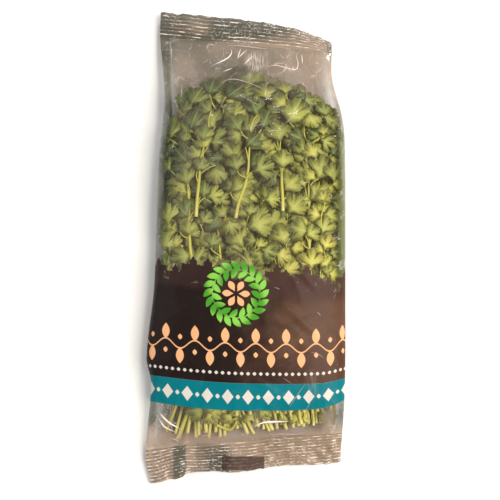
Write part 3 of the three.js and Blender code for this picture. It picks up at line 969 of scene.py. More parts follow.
@dataclass
class Thicket:
    """All that leaflets must keep clear of: the stems' skins and the leaflets placed so far."""

    rule: LeafRule
    stems: list[Stem]
    most: int = 4000
    reach: float = 4
    count: int = 0

    def __post_init__(self) -> None:
        """Gathers the points of every stem's line."""
        self.line = np.concatenate([stem.line for stem in self.stems])
        self.owner = np.concatenate([np.full(len(stem.line), i) for i, stem in enumerate(self.stems)])
        self.thick = np.array([stem.radius for stem in self.stems])[self.owner]
        self.numbers = {stem.name: i for i, stem in enumerate(self.stems)}
        self.middles, self.roots = np.zeros((self.most, 3)), np.zeros((self.most, 3))
        self.radii, self.owners = np.zeros(self.most), np.zeros(self.most, int)
        self.axes = np.zeros((self.most, 3, 3))
        self.samples = np.zeros((self.most, len(self.rule.flat_samples()[0]), 3))

    def clear_of_stems(self, leaflet: Leaflet, owner: Stem, gap: float) -> bool:
        """True if a leaflet's blade is clear of every stem but its own.

        Args:
            leaflet: the leaflet.
            owner: the stem that bears it.
            gap: the least distance.

        Returns:
            True if it is clear.
        """
        apart = np.linalg.norm(self.line - leaflet.middle, axis=1)
        near = (apart < leaflet.radius + self.thick + self.reach) & (self.owner != self.numbers[owner.name])
        if not near.any():
            return True
        over, height = self.rule.over((self.line[near] - leaflet.middle) @ leaflet.axes.T, leaflet.radius)
        height, thick, who = height[over], self.thick[near][over], self.owner[near][over]
        if np.any(np.abs(height) < thick + gap):
            return False
        above = np.bincount(who, height > 0, len(self.stems))
        return bool(np.all((above == 0) | (above == np.bincount(who, minlength=len(self.stems)))))

    def clear_of_leaflets(self, leaflet: Leaflet, owner: Stem, gap: float) -> bool:
        """True if a leaflet is clear of all those placed so far, past the neck if they share a stem.

        Args:
            leaflet: the leaflet.
            owner: the stem that bears it.
            gap: the least distance.

        Returns:
            True if it is clear.
        """
        rule, reach = self.rule, leaflet.radius + self.rule.margin
        apart = np.linalg.norm(self.middles[: self.count] - leaflet.middle, axis=1)
        near = np.flatnonzero(apart <= self.radii[: self.count] + reach)
        if not len(near):
            return True
        sisters = (self.owners[near] == self.numbers[owner.name])[:, None]
        past, space = sisters * rule.sister_neck, np.where(sisters, rule.sister_gap, gap)
        mine = np.linalg.norm(leaflet.samples - self.roots[near, None], axis=-1) > past
        local = np.einsum("nsk,nak->nsa", leaflet.samples - self.middles[near, None], self.axes[near])
        if not rule.parted(local, self.radii[near, None], mine, space):
            return False
        theirs = np.linalg.norm(self.samples[near] - leaflet.root, axis=-1) > past
        local = (self.samples[near] - leaflet.middle) @ leaflet.axes.T
        return rule.parted(local, leaflet.radius, theirs, space)

    def keep_first(self, slants: Sequence[Leaflet], owner: Stem, stem_gap: float, blade_gap: float) -> bool:
        """Keeps the first slant of a leaflet that is clear of everything.

        Args:
            slants: the slants in the order of the tries.
            owner: the stem that bears the leaflet.
            stem_gap: the least distance from other stems.
            blade_gap: the least distance from other leaflets.

        Returns:
            True if one found room.
        """
        for leaflet in slants:
            if not self.clear_of_stems(leaflet, owner, stem_gap):
                continue
            if self.clear_of_leaflets(leaflet, owner, blade_gap):
                i = self.count
                self.middles[i], self.roots[i], self.radii[i] = leaflet.middle, leaflet.root, leaflet.radius
                self.axes[i], self.samples[i] = leaflet.axes, leaflet.samples
                self.owners[i] = self.numbers[owner.name]
                self.count += 1
                owner.leaflets.append(leaflet)
                return True
        return False

    def fill_spots(self, leafy: Sequence[Stem]) -> None:
        """Gives each rachis the leaflets that find room.

        Args:
            leafy: the stems that bear leaves.
        """
        rule = self.rule
        for place, (share, angle, length) in enumerate(rule.spots):
            for number, stem in enumerate(leafy):
                draws = Draws(rule.seeds[0] + rule.seeds[1] * number + rule.seeds[2] * place)
                root = rachis_point(stem, share)
                lengths = length * lerp(1, rule.smallest, np.arange(rule.tries) / rule.tries)
                slants = rule.slants(root, stem.heading, angle, lengths, draws, 1, rule.film_gap)
                self.keep_first(slants, stem, rule.stem_gap, rule.blade_gap)

    def fill_covers(self, stems: Sequence[Stem], rule: CoverRule) -> None:
        """Lays leaflets over stems, each up or down its stem.

        Args:
            stems: the stems that get them.
            rule: the sizes and gaps.
        """
        random = np.random.default_rng(rule.seed)
        for stem in stems:
            for y in np.arange(rule.low, stem.middles[-1, 1] - rule.ahead, rule.spacing):
                i = int(np.argmin(np.abs(stem.line[:, 1] - y)))
                foot, along = stem.line[i], unit(stem.line[i] - stem.line[i - 1])
                axes = BAG.axes_at(foot[0], foot[1])
                root = foot + axes[2] * (stem.radius + rule.lift) + along * rule.forward
                limits = (rule.tilt, rule.film_gap, rule.side_limit, axes)
                for _ in range(rule.tries):
                    forward = along if random.uniform() < rule.upward else -along
                    lengths = random.uniform(*rule.length) * np.linspace(1, rule.smallest, rule.turns)
                    draws = Draws(int(random.integers(1, 100000)))
                    angle = random.uniform(-rule.fan, rule.fan)
                    slants = self.rule.slants(root, forward, angle, lengths, draws, *limits)
                    if self.keep_first(slants, stem, rule.stem_gap, rule.blade_gap):
                        path = np.array([foot, lerp(foot, root, 0.5), lerp(foot, root, 0.8), root])
                        stem.stalks.append(Stalk(path, (rule.stalk, rule.stalk)))
                        break

    def fill_sprays(self, leafy: Sequence[Stem], spray: SprayRule) -> None:
        """Adds further leaves cell by cell, from the top level down.

        Args:
            leafy: the stems that bear them.
            spray: the sizes and gaps.
        """
        random = np.random.default_rng(spray.seed)
        line = np.concatenate([stem.line for stem in leafy])
        owner = np.concatenate([np.full(len(stem.line), i) for i, stem in enumerate(leafy)])
        for level, tilt, top in spray.levels:
            for row in range(spray.rows):
                for column in range(spray.columns):
                    for _ in range(spray.spot_tries):
                        x = lerp(spray.left, spray.right, (column + random.uniform(0, 1)) / spray.columns)
                        share = (row + random.uniform(0, 1)) / spray.rows
                        y = lerp(spray.low, float(spray.dome(x)) * top, share)
                        low, high = BAG.room(np.array([x, y, 0.0]), 2)
                        tip = np.array([x, y, lerp(low, high, level - random.uniform(0, 0.04))])
                        nearest = spray.foot_for(tip, line)
                        if nearest is None:
                            continue
                        if self.fill_spray(leafy[owner[nearest]], line[nearest], tip, tilt, spray, random):
                            break

    def fill_shoots(self, leafy: Sequence[Stem], rule: ShootRule) -> int:
        """Adds the cut side stems at the bottom of the bag.

        Args:
            leafy: the stems that may bear them.
            rule: their sizes and gaps.

        Returns:
            How many found room.
        """
        random = np.random.default_rng(rule.seed)
        shares = np.linspace(0, 1, 15)[:, None]
        line, thick = self.line, self.thick
        found = 0
        for _ in range(rule.tries):
            stem = leafy[int(random.integers(len(leafy)))]
            feet = stem.line[(stem.line[:, 1] > rule.feet[0]) & (stem.line[:, 1] < rule.feet[1])]
            if not len(feet) or found == rule.count:
                continue
            foot = feet[int(random.integers(len(feet)))]
            x = foot[0] + random.uniform(-rule.spread, rule.spread)
            u, _ = BAG.place(np.array(x), np.array(rule.seal_y))
            y = float(BAG.bottom.line(u)) + random.uniform(*rule.ends)
            low, high = BAG.room(np.array([x, y, 0.0]), rule.radius[1] + rule.film_gap)
            end = np.array([x, y, lerp(low, high, random.uniform(0, 1))])
            bow = np.array([random.uniform(-rule.bow[0], rule.bow[0]), 0, rule.bow[1]])
            run = (1 - shares) * foot + shares * end + bow * np.sin(np.pi * shares)
            radius = random.uniform(*rule.radius)
            free = np.linalg.norm(run - foot, axis=1) > rule.near_foot
            apart = np.linalg.norm(run[free][:, None] - line[None], axis=-1) - thick
            gap = radius + rule.film_gap
            if BAG.holds(run[free], gap, end_limit=rule.end_limit) and apart.min() > radius + rule.gap:
                radii = (radius * rule.widening[0], radius * rule.widening[1])
                stem.stalks.append(Stalk(run[::2], radii, cut=True))
                line, thick = np.vstack([line, run[free]]), np.append(thick, np.full(free.sum(), radius))
                found += 1
        return found

    def fill_spray(
        self, stem: Stem, foot: Array, tip: Array, tilt: float, spray: SprayRule, random: Random
    ) -> bool:
        """Adds one leaf of up to three leaflets at the end of a petiole.

        Args:
            stem: the stem that bears it.
            foot: where the petiole leaves the stem.
            tip: where its end leaflet stands.
            tilt: a share of the full pitch and roll.
            spray: the sizes and gaps.
            random: the source of numbers.

        Returns:
            True if at least one leaflet found room.
        """
        forward = unit(tip - foot)
        bow = np.array([-forward[1], forward[0], 0.6]) * random.uniform(-spray.bow, spray.bow)
        bends = [lerp(foot, tip, share) + bow * 0.7 for share in spray.bends]
        path = np.array([foot, *bends, tip])
        draws = Draws(int(random.integers(1, 100000)))
        axes = BAG.axes_at(tip[0], tip[1]) if tilt < spray.pressed else np.eye(3)
        found, aside = False, random.uniform(-spray.turn, spray.turn)
        limits = (tilt, spray.film_gap, spray.side_limit, axes)
        for share, angle in spray.leaflets:
            root = lerp(path[2], tip, (share - spray.bends[1]) / (1 - spray.bends[1]))
            tries = np.arange(spray.turn_tries) / spray.turn_tries
            lengths = random.uniform(*spray.length) * lerp(1, self.rule.smallest, tries)
            slants = self.rule.slants(root, forward, angle + aside, lengths, draws, *limits)
            found |= self.keep_first(slants, stem, spray.stem_gap, spray.blade_gap)
            if not found:
                return False
        stem.stalks.append(Stalk(path, (spray.radius * 1.2, spray.radius * 0.8)))
        return True


# ---------------- node materials


@dataclass
class Wire:
    """A number, colour or vector that varies over a surface."""

    surface: "Surface"
    socket: bpy.types.NodeSocket

    def math(self, operation: str, *others: "Wire | float") -> "Wire":
        """The result of a Math node that starts from this number."""
        values = dict(enumerate((self, *others)))
        return self.surface.node("Math", {"operation": operation}, values)

    def __add__(self, other: "Wire | float") -> "Wire":
        """The sum."""
        return self.math("ADD", other)

    __radd__ = __add__

    def __mul__(self, other: "Wire | float") -> "Wire":
        """The product."""
        return self.math("MULTIPLY", other)

    __rmul__ = __mul__

    def __sub__(self, other: "Wire | float") -> "Wire":
        """The difference."""
        return self.math("SUBTRACT", other)

    def __rsub__(self, other: float) -> "Wire":
        """The difference from a plain number."""
        return self * -1.0 + other

    def __truediv__(self, other: "Wire | float") -> "Wire":
        """The quotient."""
        return self.math("DIVIDE", other)

    def __abs__(self) -> "Wire":
        """The size without the sign."""
        return self.math("ABSOLUTE")

    def sin(self) -> "Wire":
        """The sine."""
        return self.math("SINE")

    def cos(self) -> "Wire":
        """The cosine."""
        return self.math("COSINE")

    def least(self, other: "Wire | float") -> "Wire":
        """The lesser of two."""
        return self.math("MINIMUM", other)

    def most(self, other: "Wire | float") -> "Wire":
        """The greater of two."""
        return self.math("MAXIMUM", other)

    def wrapped(self, step: float) -> "Wire":
        """The distance from the nearest multiple of a step."""
        return self.math("WRAP", -step / 2, step / 2)

    def ramp(self, low: float, high: float, start: float = 0, end: float = 1) -> "Wire":
        """Runs softly from start to end while this goes from low to high.

        Args:
            low: where the run starts.
            high: where it ends.
            start: the result up to low.
            end: the result from high on.

        Returns:
            The result.
        """
        settings = {"interpolation_type": "SMOOTHSTEP"}
        values = {"Value": self, "From Min": low, "From Max": high, "To Min": start, "To Max": end}
        return self.surface.node("MapRange", settings, values)

    def below(self, limit: "Wire | float", soft: float = 0.25) -> "Wire":
        """1 where this is below a limit and 0 above it, with a soft edge."""
        return (self - limit).ramp(-soft, soft, 1, 0)

    def between(self, low: float, high: float, soft: float = 0.25) -> "Wire":
        """1 where this lies between two numbers."""
        return abs(self - (low + high) / 2).below((high - low) / 2, soft)


class Surface:
    """A node material in the making."""

    def __init__(self, name: str) -> None:
        """Starts an empty material.

        Args:
            name: the material's name.
        """
        self.material = bpy.data.materials.new(name)
        self.material.use_nodes = True
        self.tree = self.material.node_tree
        self.tree.nodes.clear()

    def node(
        self,
        kind: str,
        settings: dict[str, object] | None = None,
        values: dict[str | int, object] | None = None,
        output: str | int = 0,
    ) -> Wire:
        """Adds a node.

        Args:
            kind: the node's type, without its prefix.
            settings: its options, set first.
            values: what its sockets get, wires or plain values.
            output: the socket to read.

        Returns:
            The wire from that socket.
        """
        made = self.tree.nodes.new(f"ShaderNode{kind}")
        for key, value in (settings or {}).items():
            setattr(made, key, value)
        for key, value in (values or {}).items():
            if isinstance(value, Wire):
                self.tree.links.new(value.socket, made.inputs[key])
            else:
                made.inputs[key].default_value = value
        return Wire(self, made.outputs[output])

    def trait(self, name: str) -> Wire:
        """A number stored on the mesh."""
        return self.node("Attribute", {"attribute_name": name}, output="Fac")

    def object_place(self) -> Wire:
        """The place on the piece, in metres."""
        return self.node("TexCoord", output="Object")

    def map_place(self, name: str) -> tuple[Wire, Wire, Wire]:
        """A UV map as a vector and as its two numbers."""
        vector = self.node("UVMap", {"uv_map": name})
        return vector, self.split(vector, 0), self.split(vector, 1)

    def split(self, vector: Wire, axis: int) -> Wire:
        """One number of a vector."""
        return self.node("SeparateXYZ", None, {0: vector}, axis)

    def noise(self, place: Wire, scale: float, detail: float = 2, roughness: float = 0.5) -> Wire:
        """A cloudy number about 0.5."""
        values = {"Vector": place, "Scale": scale, "Detail": detail, "Roughness": roughness}
        return self.node("TexNoise", None, values)

    def cloud_vector(self, place: Wire, scale: float) -> Wire:
        """Three cloudy numbers about 0.5."""
        return self.node("TexNoise", None, {"Vector": place, "Scale": scale, "Detail": 1}, "Color")

    def stretch(self, place: Wire, scale: tuple[float, float, float], turn: float = 0) -> Wire:
        """A place stretched and turned about z."""
        return self.node("Mapping", None, {"Vector": place, "Scale": scale, "Rotation": (0, 0, turn)})

    def mix(self, share: Wire | float, low: object, high: object) -> Wire:
        """A colour between two."""
        return self.node("Mix", {"data_type": "RGBA"}, {0: share, 6: low, 7: high}, 2)

    def bump(self, height: Wire, strength: float, distance: float) -> Wire:
        """A normal bent by a height."""
        return self.node("Bump", None, {"Height": height, "Strength": strength, "Distance": distance})

    def finish(self, values: dict[str | int, object]) -> Material:
        """Adds the shader and the output.

        Args:
            values: the shader's own sockets.

        Returns:
            The finished material.
        """
        shader = self.node("BsdfPrincipled", None, values)
        output = self.tree.nodes.new("ShaderNodeOutputMaterial")
        self.tree.links.new(shader.socket, output.inputs["Surface"])
        return self.material


def colour(red: float, green: float, blue: float) -> Colour:
    """A colour from its display values, 0 to 255."""
    linear = [((c / 255 + 0.055) / 1.055) ** 2.4 if c > 10 else c / 255 / 12.92 for c in (red, green, blue)]
    return (*linear, 1.0)


# ---------------- finishes


@dataclass(frozen=True)
class LeafFinish:
    """Fresh green leaves with paler veins and painted light and shade across the bunch, and their pale stalks.
    """

    name: str = "coriander_leaf"
    deep: Colour = colour(48, 74, 36)
    bright: Colour = colour(158, 162, 72)
    yellow: Colour = colour(182, 176, 72)
    vein: Colour = colour(176, 184, 104)
    stalk: Colour = colour(180, 174, 66)
    stalk_pale: Colour = colour(222, 209, 122)

    def make(self) -> Material:
        """Builds the material.

        Returns:
            The material, which reads the map "blade" and the traits "tone", "gold", "stalk" and "end".
        """
        s = Surface(self.name)
        _, along, off = s.map_place("blade")
        tone, gold, stalk, end = (s.trait(key) for key in ("tone", "gold", "stalk", "end"))
        place = s.object_place()
        cloud = s.noise(place, 130, 3)
        # painted light: the leaf's lightness and yellowness carry the painted light and shade set per leaflet,
        # besides random variation
        base = s.mix((tone * 0.75 + cloud * 0.5 - 0.12).ramp(0, 1), self.deep, self.bright)
        base = s.mix((gold + cloud * 0.3 - 0.15).ramp(0.1, 0.9), base, self.yellow)
        turn = off.math("ARCTAN2", along + 0.12)
        middle_vein = abs(turn).below(0.035, 0.03)
        side_veins = abs(turn.wrapped(0.44)).below(0.03, 0.035) * along.ramp(0.1, 0.2)
        fine_veins = abs((turn * 1.0 + along * 0.35).wrapped(0.15)).below(0.012, 0.03) * 0.45
        veins = middle_vein.most(side_veins * 0.8).most(fine_veins) * (1.0 - stalk)
        leaf = s.mix(veins * 0.42, base, self.vein)
        rod = s.mix((end * 0.9 + cloud * 0.5 - 0.2).ramp(0, 1), self.stalk, self.stalk_pale)
        rod = s.mix((s.noise(place, 60) - 0.3).ramp(0, 0.7, 0, 0.35), rod, base)
        grooves = (off * 6.2832 * 5.0).sin() * 0.5 * stalk
        height = veins * -0.5 + s.noise(place, 900, 2) * 0.25 + grooves
        return s.finish(
            {
                "Base Color": s.mix(stalk, leaf, rod),
                "Roughness": cloud.ramp(0.2, 0.8, 0.38, 0.6),
                "Specular IOR Level": 0.45,
                "Subsurface Weight": 0.12,
                "Subsurface Radius": (0.6, 1.0, 0.25),
                "Subsurface Scale": 0.0012,
                "Normal": s.bump(height, 0.5, 0.00025),
            }
        )


@dataclass(frozen=True)
class FilmFinish:
    """Clear crinkled film, printed with a dark band, a teal stripe and plain ornaments, with painted highlights
    on its creases, folds and seals, painted shade at its edges, in the seals' grooves and on the back panel, and
    a painted sheen on the band's right part.
    """

    name: str = "printed_film"
    warm: Colour = colour(150, 134, 118)
    # a darker grey, painted on the film as shade; the seam at the back is drawn in it too
    cool: Colour = colour(84, 86, 74)
    # the dark green of shaded leaves, painted on the film
    leaf_shade: Colour = colour(88, 98, 34)
    # painted shade in the grooves of the crimped seals
    groove_shade: Colour = colour(72, 66, 56)
    seal_warm: Colour = colour(178, 154, 134)
    seal_brown: Colour = colour(140, 114, 88)
    # a near-white painted as highlights on creases, folds, seal ribs and glare patches
    glinting_crease: Colour = colour(248, 232, 222)
    ink_dark: Colour = colour(30, 21, 19)
    # a lighter brown, painted over the band's right part as sheen
    ink_sheen_brown: Colour = colour(76, 50, 37)
    teal: Colour = colour(0, 106, 116)
    green: Colour = colour(66, 138, 38)
    green_pale: Colour = colour(124, 186, 74)
    peach: Colour = colour(222, 164, 118)
    pale: Colour = colour(200, 194, 186)
    # a paler brown, painted as glare on the band's right part
    ink_glare: Colour = colour(92, 66, 50)
    mark: Colour = colour(58, 38, 36)
    teal_top: float = 18.5
    band_top: float = 93
    silhouettes: tuple[tuple[float, float, float, float], ...] = (
        (31, 3, 95, 10),
        (67, 23, 102, 11),
        (23, -8, 92, 8),
        (53, 30, 99, 10),
        (79, -32, 101, 12),
        (37, -15, 93, 11),
    )
    wreath_middle: Span = (-9.5, 88)
    vents: tuple[Span, ...] = ((30, 60), (30, -100))
    vent_radius: float = 3
    # painted highlights: soft glare patches where the film is crumpled, as x, y, reach across, reach along and
    # strength; they also make the film less clear there
    glare_patches: tuple[tuple[float, float, float, float, float], ...] = (
        (7.5, 149, 13, 17, 0.62),
        (7, -152, 8, 9, 0.5),
        (19, -154, 12, 4, 0.5),
        (50, -126, 7, 16, 0.2),
    )

    def leaves(self, radius: Wire, turn: Wire, ring: tuple[float, int, float, float, float]) -> Wire:
        """A ring of pointed ovals.

        Args:
            radius: the distance from the ring's middle.
            turn: the angle round it.
            ring: its radius, number of ovals, half length, half width and slant.

        Returns:
            1 on the ovals.
        """
        size, count, length, width, slant = ring
        round_ring = turn.wrapped(math.tau / count) * size
        out = radius - size
        a = round_ring * math.cos(slant) + out * math.sin(slant)
        b = out * math.cos(slant) - round_ring * math.sin(slant)
        return self.oval(a, b, length, width)

    def fan_leaf(self, a: Wire, b: Wire, size: float) -> Wire:
        """A lobed leaf that stands on its stalk, with b upwards.

        Args:
            a: the distance across from its middle.
            b: the distance up from its middle.
            size: its radius.

        Returns:
            1 on the leaf.
        """
        turn = a.math("ARCTAN2", b)
        lobes = (turn * 5.0).cos() * 0.2 + (turn * 17.0).cos() * 0.06 + 0.78
        stalk = abs(a).below(0.5) * b.between(-size * 1.4, 0)
        return (a * a + b * b).math("SQRT").below(lobes * size, 0.4).most(stalk)

    def oval(self, a: Wire, b: Wire, length: float, width: float) -> Wire:
        """A pointed oval with its long axis along a."""
        share = (a / length) * (a / length)
        return abs(b).below((1.0 - share) * width, 0.3)

    def make(self) -> Material:
        """Builds the material.

        Returns:
            The material, which reads the map "print" and the traits "front", "seal", "haze", "cool",
            "rib", "seam" and "fold".
        """
        s = Surface(self.name)
        vector, x, y = s.map_place("print")
        front, seal, haze, cool = (s.trait(key) for key in ("front", "seal", "haze", "cool"))
        rib, seam, fold = s.trait("rib"), s.trait("seam"), s.trait("fold")
        place = s.object_place()
        crinkle = s.noise(place, 55, 4, 0.6)
        fine = s.noise(place, 260, 2)
        # the dark band with its leafy upper edge, painted lighter brown towards the right and with a paler patch
        # there, both a painted sheen
        edge_line = (s.noise(vector, 0.07, 2) - 0.5) * 9.0 + self.band_top - x * 0.05
        band = y.below(edge_line, 0.8)
        for pitch, shift, base, size in self.silhouettes:
            band = band.most(self.fan_leaf((x - shift).wrapped(pitch), y + x * 0.05 - base, size))
        band = band * (self.teal_top - y).below(0.0)
        ink_and_sheen = s.mix((x + (crinkle - 0.5) * 70.0).ramp(-30, 70), self.ink_dark, self.ink_sheen_brown)
        depth = edge_line - y
        print_glare = depth.ramp(6, 14) * depth.ramp(34, 60, 1, 0) * x.ramp(5, 45)
        print_colour = s.mix(print_glare * crinkle.ramp(0.3, 0.7, 0.3, 0.8), ink_and_sheen, self.ink_glare)
        print_colour = s.mix(depth.ramp(2, 8, 0.5, 0), print_colour, self.mark)
        # the wreath
        dx, dy = x - self.wreath_middle[0], y - self.wreath_middle[1]
        radius = (dx * dx + dy * dy).math("SQRT")
        turn = dy.math("ARCTAN2", dx)
        wreath = self.leaves(radius, turn, (22.0, 20, 5.4, 2.4, 0.9))
        inner = self.leaves(radius, turn, (15.8, 15, 4.8, 2.2, -0.9))
        core = self.leaves(radius, turn, (6.5, 6, 4.6, 2.3, math.pi / 2))
        stem_ring = abs(radius - 19.0).below(0.35)
        lit = (turn * 3.0 + radius * 0.3).sin().ramp(-1, 1)
        motif = wreath.most(inner).most(stem_ring) * front
        print_colour = s.mix(motif, print_colour, s.mix(lit, self.green, self.green_pale))
        print_colour = s.mix(core * front, print_colour, self.peach)
        # a vine border above the teal stripe, with a dotted line under it
        vine = abs(y - (x * (math.tau / 24)).sin() * 3.4 - 46.0).below(0.6)
        over = self.oval(y - 55.0, (x - 6.0).wrapped(24.0), 6.2, 3.2)
        under = self.oval(y - 37.0, (x + 6.0).wrapped(24.0), 6.2, 3.2)
        buds = self.oval(y - 40.5, (x - 6.0).wrapped(24.0), 2.2, 1.7)
        buds = buds.most(self.oval(y - 51.5, (x + 6.0).wrapped(24.0), 2.2, 1.7))
        print_colour = s.mix(vine.most(over).most(under).most(buds), print_colour, self.peach)
        dots = self.oval(x.wrapped(5.0), y - 26.0, 1.5, 1.3)
        print_colour = s.mix(dots, print_colour, self.pale)
        # the teal stripe, with lozenges and dots
        stripe = y.between(0, self.teal_top, 0.2)
        print_colour = s.mix(stripe, print_colour, self.teal)
        lozenges = (abs(x.wrapped(16.0)) / 4.6 + abs(y - 9.2) / 5.0).below(1.0, 0.05)
        seeds = self.oval((x - 8.0).wrapped(16.0), y - 9.2, 1.7, 1.5)
        print_colour = s.mix(lozenges.most(seeds), print_colour, self.pale)
        # the dark register mark on the seal
        mark = x.between(-21, 13) * y.between(-47, -36) * front
        print_colour = s.mix(mark, print_colour, self.mark)
        printed = band.most(stripe).most(motif).most(core * front).most(mark * 0.85)
        # the clear film: facets between creases with painted facet shading, pale lines and specks painted as
        # highlights along creases, crimped seals with painted shade in their grooves and painted glints on their
        # rib crests, and the seam at the back
        clouds = {0: s.cloud_vector(vector, 0.05), 1: (16, 16, 0), 2: vector}
        warp = s.node("VectorMath", {"operation": "MULTIPLY_ADD"}, clouds)
        bent = s.stretch(warp, (1, 0.72, 1), 0.5)
        facet = s.split(s.node("TexVoronoi", None, {"Vector": bent, "Scale": 0.062}, "Color"), 0)
        edge = s.node("TexVoronoi", {"feature": "DISTANCE_TO_EDGE"}, {"Vector": bent, "Scale": 0.036})
        free = abs(y - 120.0 - x * 0.1).ramp(30, 170, 0.25, 1) * (y - 190.0).ramp(0, 60, 0.5, 1.5)
        free = free.least(1.0)
        # painted highlights: pale lines along random cell edges and small specks, fainter on the print and none
        # on the seals, joined by the fold crests
        specks = (fine * s.noise(vector, 0.9, 1)).ramp(0.34, 0.4) * crinkle.ramp(0.5, 0.62)
        lines = edge.below(0.012, 0.01) * crinkle.ramp(0.46, 0.6) * 0.55 + specks * 0.7
        lines = lines * free * (1.0 - printed * 0.75) * (1.0 - seal)
        lines = lines.most(fold)
        # painted highlights on the seals: glints along the rib crests and scattered sparkles
        crest = (rib * math.tau).cos()
        streaks = s.noise(s.stretch(vector, (0.08, 0.4, 1)), 1.6, 3).ramp(0.5, 0.6)
        sparks = s.noise(s.stretch(vector, (0.45, 1.3, 1)), 1, 2).ramp(0.6, 0.66) * crinkle.ramp(0.46, 0.56)
        glints = (crest.ramp(0.7, 1) * streaks).most(sparks * 0.8) * seal
        # painted shade: the film's warm tint turns to the darker grey where it is marked shaded, and random
        # cells are painted lighter and darker as facet shading
        film = s.mix((facet - 0.5) * 0.5 + cool, self.warm, self.cool)
        film = s.mix(seal * (1.0 - cool) * 0.6, film, self.seal_warm)
        film = s.mix(seal * (y + 20.0).below(0.0) * x.ramp(-20, 20, 0, 0.5), film, self.seal_brown)
        # painted shade in the grooves between the seal's ribs, stronger at the left and where the film is
        # painted shaded
        shade = cool * 0.6 + x.ramp(-68, -40, 0.55, 0.2)
        film = s.mix(seal * crest.ramp(-1, 0.4, 1, 0.1) * shade, film, self.groove_shade)
        across, up = s.split(place, 0) / MM, s.split(place, 1) / MM
        # painted light: the film lighter and warmer low down above the bottom seal and at its upper right
        film = s.mix(up.ramp(-166, -150, 0.7, 0) * (1.0 - seal), film, self.seal_warm)
        film = s.mix(across.ramp(10, 60) * up.ramp(100, 125) * (1.0 - seal) * 0.45, film, self.seal_warm)
        # painted shade: dark green of shaded leaves painted on the film along its right edge, from the print up
        # to the top of the herb
        shaded_leaf_edge = across.ramp(68, 77) * up.ramp(-60, -40) * up.ramp(80, 105, 0.7, 0)
        film = s.mix(shaded_leaf_edge, film, self.leaf_shade)
        streaky = s.noise(s.stretch(place, (900, 90, 1)), 1, 2).ramp(0.3, 0.7) * front
        # painted highlight: streaky glare in soft patches, which also makes the film less clear and the print
        # paler there
        milky_glare: Wire | float = 0.0
        for middle_x, middle_y, reach_x, reach_y, strength in self.glare_patches:
            gx, gy = (across - middle_x) / reach_x, (up - middle_y) / reach_y
            milky_glare = (gx * gx + gy * gy).ramp(0, 1, strength, 0) + milky_glare
        milky_glare = milky_glare * streaky
        film = s.mix(milky_glare, film, self.glinting_crease)
        film = s.mix(seam * (1.0 - front + seal).least(1.0) * 0.7, film, self.cool)
        # the painted highlights are laid over the film colour
        film = s.mix((lines + glints).least(1.0), film, self.glinting_crease)
        body = haze * (1.0 + (crinkle - 0.5) * 0.5 + (facet - 0.5) * 0.5)
        body = (body + milky_glare * 0.3).most(seal * 0.72).most(lines * 0.75).most(glints * 0.9).least(0.95)
        alpha = printed * 0.975 + body * (1.0 - printed)
        for vent_x, vent_y in self.vents:
            vx, vy = abs(across) - vent_x, up - vent_y
            hole = (vx * vx + vy * vy).math("SQRT").below(self.vent_radius, 0.15) * (1.0 - front)
            alpha = alpha * (1.0 - hole)
        height = crinkle + fine * 0.12 + facet * 0.35 + lines * 0.5
        return s.finish(
            {
                "Base Color": s.mix(printed * (1.0 - (lines * 0.5).most(milky_glare)), film, print_colour),
                "Alpha": alpha,
                "Roughness": (crinkle + printed * 0.4).ramp(0.3, 1.0, 0.12, 0.42),
                "Specular IOR Level": 0.08,
                "Coat Weight": (1.0 - printed) * 0.6 + 0.03,
                "Coat Roughness": 0.08,
                "Normal": s.bump(height, 0.45, 0.0012),
            }
        )


@dataclass(frozen=True)
class FloorFinish:
    """A plain pale floor."""

    name: str = "floor_paint"
    light: Colour = colour(238, 237, 235)
    dark: Colour = colour(232, 231, 229)

    def make(self) -> Material:
        """Builds the material.

        Returns:
            The material.
        """
        s = Surface(self.name)
        cloud = s.noise(s.object_place(), 3, 2)
        roughness = cloud.ramp(0.3, 0.7, 0.75, 0.9)
        return s.finish({"Base Color": s.mix(cloud, self.light, self.dark), "Roughness": roughness})


# ---------------- patterns modelled once


def start_editing(piece: Piece) -> None:
    """Opens a piece in edit mode with everything selected.

    Args:
        piece: the piece.
    """
    bpy.context.view_layer.objects.active = piece
    bpy.ops.object.mode_set(mode="EDIT")
    bpy.ops.mesh.select_all(action="SELECT")


@dataclass
class Pattern:
    """Points and faces of a form that is copied into its places."""

    points: Array
    faces: list[Face]

    @classmethod
    def taken_from(cls, piece: Piece) -> "Pattern":
        """Reads a finished form and removes its object.

        Args:
            piece: the form's object, in edit mode.

        Returns:
            The pattern.
        """
        bpy.ops.object.mode_set(mode="OBJECT")
        points = np.array([vertex.co[:] for vertex in piece.data.vertices])
        faces = [tuple(polygon.vertices) for polygon in piece.data.polygons]
        mesh = piece.data
        bpy.data.objects.remove(piece)
        bpy.data.meshes.remove(mesh)
        return cls(points, faces)


